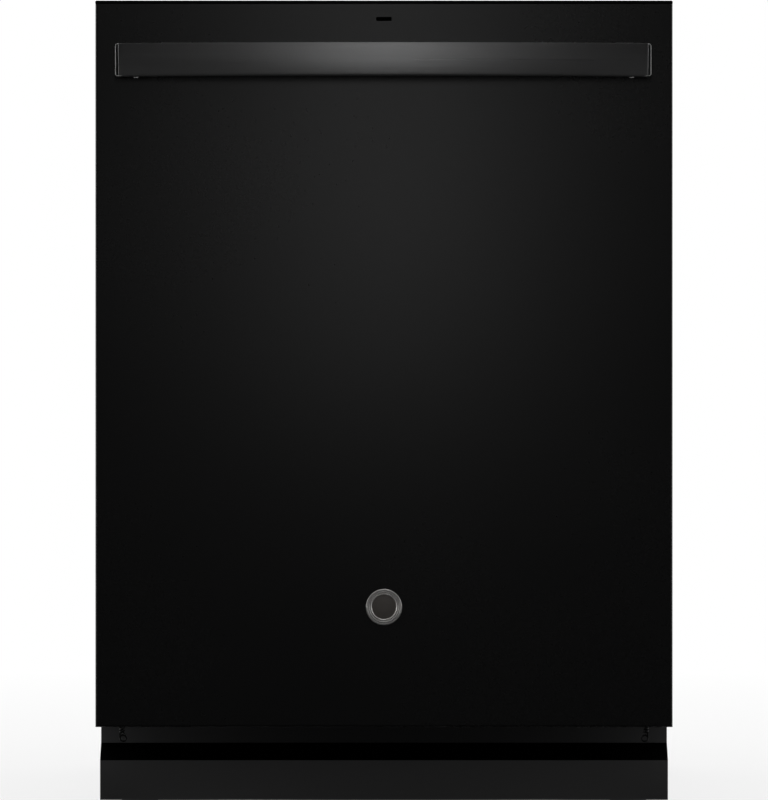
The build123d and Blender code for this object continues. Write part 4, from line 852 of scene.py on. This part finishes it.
def circuit_lacquer():
    """Green lacquer over copper tracks: straight bands of paler green."""
    material, feed, place = start_finish("circuit_lacquer")
    tracks = place.node("TexBrick", None, {"Vector": place, "Scale": 120.0, "Mortar Size": 0.06}, 1)
    feed(
        Base_Color=tracks.between((0.02, 0.12, 0.05), (0.05, 0.22, 0.1)),
        Roughness=0.4 - tracks * 0.12,
        Normal=tracks.bump(0.2, 0.0002),
    )
    return material


dress(circuit_lacquer(), "control_board")


# Door panel
# A tray of steel sheet with folded edges, sprayed with black enamel and baked to a soft gloss.
# A dull near-black band is painted along its top edge, which darkens the line there and takes away its
# reflection.
DOOR_BLACK = (0.0016, 0.0016, 0.0017), (0.0026, 0.0026, 0.0027)
TOP_DARK_BAND_Z = 0.8441
# Above this height the door's front is painted a dull near-black band.
DOOR_ENAMEL = black_enamel("door_enamel", *DOOR_BLACK, rough=0.27, peel=0.012, dark_band_above=TOP_DARK_BAND_Z)
dress(DOOR_ENAMEL, "door_panel")


# Badge
# A plain stamped disc with bright rolled rims and a dark satin face.
# It is stuck to the lower part of the door.
BADGE_Z = 0.2146
BADGE_FACE = -0.28665
BADGE_RIM = (0.0124, 0.0130)


def badge_disc():
    """Three rounded rims with grooves between them and a gently domed face, turned about the disc's axis."""
    profile = [
        (0.0026, 0.0187), (0.0022, 0.0189), (0.0012, 0.0189), (0.0005, 0.0187), (0.0001, 0.0182), (0, 0.0176),
        (0.0002, 0.0172), (0.0004, 0.0169), (0.0002, 0.0165), (0, 0.0159), (0.0001, 0.0154), (0.0005, 0.0150),
        (0.0010, 0.0147), (0.0010, 0.0143), (0.0005, 0.0140), (0.0002, 0.0136), (0.0004, 0.0131),
        (0.0010, 0.0127), (0.0012, 0.0124), (0.0012, 0.0120),
        (0.0009, 0.0090), (0.0007, 0.0050), (0.00065, 0.0015),
    ]
    return turn(profile, (0, 1, 0), (0, BADGE_FACE, BADGE_Z), 128, closed=False)


def badge_chrome():
    """Dark satin metal in the middle and bright rims, told apart by the distance from the centre."""
    material, feed, place = start_finish("badge_chrome", Metallic=0.94)
    to_middle = {"Location": (0.0, 0.0, -BADGE_Z), "Scale": (1.0, 0.0, 1.0)}
    centred = place.node("Mapping", None, {"Vector": place, **to_middle})
    radius = centred.node("VectorMath", {"operation": "LENGTH"}, {0: centred}, 1)
    rim = radius.ramp(*BADGE_RIM)
    spun = centred.noise(900.0, 2.0)
    feed(
        Base_Color=rim.between((0.24, 0.22, 0.205), (0.86, 0.84, 0.82)),
        Roughness=spun * 0.08 + (0.42 - rim * 0.14),
        Normal=spun.bump(0.04, 0.0002),
    )
    return material


badge = piece("door_disc", badge_disc(), badge_chrome(), "door", "badge")


# Handle
# A bowed bar of dark satin metal between two moulded end brackets, locked by set screws from below.
# The bar is drawn through a die, so its grain runs along it.
BAR_HALF = 0.2750
BAR_BOW = 0.014
BAR_THICK = 0.009
BAR_EDGE = 0.00006
BAR_END_EDGE = 0.0007
BAR_CURL = 0.0022
BAR_FRONT = -0.326
BAR_Z = (0.7666, 0.8010)
BAR_LIP = 0.0003
BAR_FACE_POINTS = 32
BAR_STATIONS = 161
HANDLE_X = -0.0008


def bar_outline():
    """The bar's section: tight corners, and a front face that is upright near its top and curls
    back towards its bottom edge, as a parabola with a small steep lip at its end."""
    tall = (BAR_Z[1] - BAR_Z[0]) / 2
    upper, lower = np.split(rounded_rectangle(BAR_THICK / 2, tall, BAR_EDGE), 2)
    heights = (tall - BAR_EDGE) * np.cos(np.linspace(0, np.pi, BAR_FACE_POINTS + 2)[1:-1])
    face = np.stack([np.full_like(heights, -BAR_THICK / 2), heights], -1)
    outline = np.concatenate([upper, face, lower])
    from_top = (tall - outline[:, 1]) / (2 * tall)
    curl = np.where(outline[:, 0] < 0, BAR_CURL * from_top**2 + BAR_LIP * from_top**48, 0.0)
    return outline + np.stack([curl, np.zeros_like(curl)], -1)


def bowed_bar():
    """The section carried along a level arc, whose middle stands forward of its ends by the bow.

    It shrinks by a quarter circle at both ends, which are rounded over."""
    radius = (BAR_HALF**2 + BAR_BOW**2) / (2 * BAR_BOW)
    middle = radius - BAR_THICK / 2
    turn_in = np.radians([80, 55, 30, 10])
    straight = BAR_HALF - BAR_END_EDGE
    ends = straight + BAR_END_EDGE * np.sin(turn_in)
    drawn_in = BAR_END_EDGE * (1 - np.cos(turn_in))
    x = np.concatenate([-ends, np.linspace(-straight, straight, BAR_STATIONS), ends[::-1]])
    inset = np.concatenate([drawn_in, np.zeros(BAR_STATIONS), drawn_in[::-1]])
    y = BAR_FRONT + radius - np.sqrt(middle**2 - x**2)
    path = np.stack([x + HANDLE_X, y, np.full_like(x, sum(BAR_Z) / 2)], -1)
    outline = bar_outline()
    shrink = 1 - inset[:, None, None] / np.abs(outline).max(0)
    return sweep(path, outline * shrink, (0, 0, 1))


def satin_metal():
    """Dark drawn metal: long fine lines along the bar in its tone and gloss."""
    material, feed, place = start_finish("satin_metal", Metallic=1.0)
    drawn = place.noise(90.0, 4.0, (0.02, 0.02, 6.0))
    cloud = place.noise(6.0, 2.0)
    feed(
        Base_Color=(drawn * 0.6 + cloud * 0.4).between((0.31, 0.31, 0.313), (0.38, 0.38, 0.383)),
        Roughness=drawn * 0.08 + cloud * 0.05 + 0.225,
        Normal=drawn.bump(0.015, 0.0002),
    )
    return material


bar = piece("bowed_handle_bar", bowed_bar(), satin_metal(), "door", "handle_bar")


# Handle brackets
# Black mouldings screwed through the door from behind, one at the back of each end of the bar.
# A thin bright shell wraps each one's outer side and stands a little short of the bar's face.
BRACKET_X = (0.2495, 0.2774)
BRACKET_Y = (-0.3025, -0.28415)
BRACKET_Z = (0.7668, 0.8008)
SHELL_CORNER = 0.0024
SHELL_HALF = 0.00045
SHELL_FRONT = -0.3112
SHELL_UNDER_BAR = 0.004


def end_shell(side):
    """A strip with a half-round front edge, bent round the bracket's outer side like a U."""
    inner = side * (BAR_HALF - SHELL_UNDER_BAR) + HANDLE_X
    outer = side * (BRACKET_X[1] + SHELL_HALF) + HANDLE_X
    low, high = BRACKET_Z[0] + SHELL_HALF, BRACKET_Z[1] - SHELL_HALF
    corners = [(inner, 0, low), (outer, 0, low), (outer, 0, high), (inner, 0, high)]
    angle = np.linspace(0, np.pi, 9)
    nose = np.stack([SHELL_HALF * np.cos(angle), SHELL_FRONT + SHELL_HALF * (1 - np.sin(angle))], -1)
    outline = np.concatenate([[(SHELL_HALF, BRACKET_Y[1])], nose, [(-SHELL_HALF, BRACKET_Y[1])]])
    return sweep(bend(corners, SHELL_CORNER, 9), outline, (0, 1, 0))


BRACKET_TONES = (0.002, 0.002, 0.002), (0.004, 0.004, 0.004)
BRACKET_BLACK = moulding("bracket_black", *BRACKET_TONES, rough=0.4, depth=0.04)
posts = []
for side in (-1, 1):
    across = sorted(side * x for x in BRACKET_X)
    posts.append(slab(across, BRACKET_Y, BRACKET_Z, SHELL_CORNER, edge=0.0004, along=1))
brackets = piece("bracket_posts", join(posts), BRACKET_BLACK, "door", "handle_brackets")
SHELL_METAL = plated_steel("shell_metal", (0.62, 0.62, 0.61), rough=0.3, scale=60.0)
shells = piece("bracket_shells", join([end_shell(-1), end_shell(1)]), SHELL_METAL, "door")


# Studio
# A plain pale floor and a white surround. A soft box stands above the camera's line, strips at both
# sides, a panel overhead and a small lamp low down at each end of the base. Black cloths in front,
# which show only in gloss, keep the black door black.
FLOOR_Z = -0.0004
FLOOR_X = 6.0
FLOOR_Y = (-5.0, 6.0)
FLOOR_WHITE = 0.75
FLOOR_FADE = (0.6, 2.2)
UNDER_WHITE = 0.1
UNDER_X = (0.24, 0.30)
UNDER_Y = (0.18, 0.25)
UNDER_MIDDLE = 0.055


def stage_sheet(name, corners, material):
    """A flat four-cornered sheet of the studio."""
    mesh = bpy.data.meshes.new(name)
    mesh.from_pydata(corners, [], [(0, 1, 2, 3)])
    mesh.materials.append(material)
    made = bpy.data.objects.new(name, mesh)
    bpy.context.scene.collection.objects.link(made)
    return made


def level_corners(half_x, y, z):
    """The corners of a level rectangle."""
    return [(-half_x, y[0], z), (half_x, y[0], z), (half_x, y[1], z), (-half_x, y[1], z)]


def seen_white(tree):
    """1 for rays that see the studio straight, in a mirror or through glass, 0 for those that light it."""
    paths = Tint(tree).node("LightPath").socket.node.outputs
    kinds = ("Camera", "Glossy", "Transmission")
    camera_ray, glossy_ray, clear_ray = [Tint(tree, paths[f"Is {kind} Ray"]) for kind in kinds]
    return camera_ray.math("MINIMUM", camera_ray + glossy_ray + clear_ray, 1.0)


def glow_over(tree, share, strength):
    """Mixes a white glow over a finish by a share from 0 to 1."""
    glow = Tint(tree).node("Emission", None, {"Color": (1, 1, 1, 1), "Strength": strength})
    paint = Tint(tree, tree.nodes["Principled BSDF"].outputs[0])
    mixed = Tint(tree).node("MixShader", None, {0: share, 1: paint, 2: glow})
    tree.links.new(mixed.socket, tree.nodes["Material Output"].inputs["Surface"])


def floor_paint():
    """A pale floor that is nearly white to the camera, wholly so far off, and keeps the object's
    shadow, which is deepest under the machine."""
    material, feed, place = start_finish("floor_paint", Roughness=0.9)
    tree = material.node_tree
    feed(Base_Color=place.noise(1.5, 2.0).between((0.8, 0.8, 0.8), (0.84, 0.84, 0.84)))
    away = place.node("VectorMath", {"operation": "LENGTH"}, {0: place}, 1).ramp(*FLOOR_FADE)
    across, deep = [place.node("SeparateXYZ", None, {0: place}, axis) for axis in (0, 1)]
    clear_across = across.math("ABSOLUTE", across).ramp(*UNDER_X)
    clear_deep = deep.math("ABSOLUTE", deep - UNDER_MIDDLE).ramp(*UNDER_Y)
    clear = clear_across.math("MAXIMUM", clear_across, clear_deep)
    white = (away * (1 - FLOOR_WHITE) + FLOOR_WHITE) * (clear * (1 - UNDER_WHITE) + UNDER_WHITE)
    glow_over(tree, seen_white(tree) * white, 1.0)
    return material


stage_sheet("floor", level_corners(FLOOR_X, FLOOR_Y, FLOOR_Z), floor_paint())

CLOTH_X = 30.0
CLOTH_SIDE_GLOW = 0.28
CARD_Y = -6.0
CARD_Z = (-20.0, 30.0)
CARD_SIDES = (8.0, 16.0)
MAT_BACK = -0.205
MAT_Z = 0.001
MAT_SIDES = (1.3, 2.6)


def studio_cloth(name, sides):
    """Black cloth with a painted glow, dim grey, that grows towards both sides between two distances."""
    material, feed, place = start_finish(name, Roughness=1.0)
    feed(Base_Color=place.noise(40.0, 2.0).between((0.002, 0.002, 0.002), (0.004, 0.004, 0.004)))
    across = place.node("SeparateXYZ", None, {0: place}, 0)
    # The glow is painted light; the black door shows it as a faint sheen from the side.
    glow_over(material.node_tree, across.math("ABSOLUTE", across).ramp(*sides), CLOTH_SIDE_GLOW)
    return material


card_outline = [(-CLOTH_X, CARD_Z[0]), (-CLOTH_X, CARD_Z[1]), (CLOTH_X, CARD_Z[1]), (CLOTH_X, CARD_Z[0])]
card_corners = [(x, CARD_Y, z) for x, z in card_outline]
mat_corners = level_corners(CLOTH_X, (CARD_Y, MAT_BACK), MAT_Z)
for cloth in (
    stage_sheet("dark_card", card_corners, studio_cloth("card_cloth", CARD_SIDES)),
    stage_sheet("dark_mat", mat_corners, studio_cloth("mat_cloth", MAT_SIDES)),
):
    cloth.visible_camera = False
    cloth.visible_diffuse = False
    cloth.visible_shadow = False

MACHINE_MIDDLE = (0.0, 0.0, 0.4)
STRIP_SIZE = (0.2, 1.0)
LOW_SIZE = (0.02, 0.02)
LOW_SPREAD = np.radians(45)


def lamp(name, place, aim, size, watts):
    """A rectangular soft light that faces a point."""
    data = bpy.data.lights.new(name, "AREA")
    data.shape = "RECTANGLE"
    data.size, data.size_y = size
    data.energy = watts
    made = bpy.data.objects.new(name, data)
    made.location = place
    made.rotation_euler = (Vector(aim) - Vector(place)).to_track_quat("-Z", "Y").to_euler()
    made.visible_camera = False
    bpy.context.scene.collection.objects.link(made)
    return made


lamp("key", (0.0, -2.884, 0.92), aim=(0.0, -0.284, 0.70), size=(0.2, 0.85), watts=1.0)
lamp("strip_left", (-2.4, -1.3, 0.55), MACHINE_MIDDLE, STRIP_SIZE, watts=2.2)
lamp("strip_right", (2.4, -1.3, 0.55), MACHINE_MIDDLE, STRIP_SIZE, watts=1.8)
lamp("ceiling", (0.0, 0.3, 2.6), MACHINE_MIDDLE, size=(2.2, 2.2), watts=15.0)
for low_lamp in (
    lamp("low_left", (-0.45, -0.205, 0.075), (-0.2475, -0.188, 0.065), LOW_SIZE, watts=0.25),
    lamp("low_right", (0.45, -0.205, 0.075), (0.2475, -0.188, 0.065), LOW_SIZE, watts=0.2),
):
    low_lamp.data.spread = LOW_SPREAD
    low_lamp.visible_glossy = False

SURROUND_LIGHT = 0.75
world = bpy.data.worlds.new("surround")
bpy.context.scene.world = world
world.use_nodes = True
air = world.node_tree
strength = seen_white(air) * (1 - SURROUND_LIGHT) + SURROUND_LIGHT
sky = Tint(air).node("Background", None, {"Color": (1, 1, 1, 1), "Strength": strength})
air.links.new(sky.socket, air.nodes["World Output"].inputs["Surface"])

CAMERA_PLACE = (0.0, -4.984, 0.4307)
CAMERA_LENS = 202.55
camera_data = bpy.data.cameras.new("photo_camera")
camera_data.lens = CAMERA_LENS
camera_data.sensor_width = 36.0
camera_data.clip_end = 100.0
camera = bpy.data.objects.new("photo_camera", camera_data)
camera.location = CAMERA_PLACE
camera.rotation_euler = (np.pi / 2, 0.0, 0.0)
bpy.context.scene.collection.objects.link(camera)
bpy.context.scene.camera = camera
bpy.context.scene.view_settings.view_transform = "Standard"
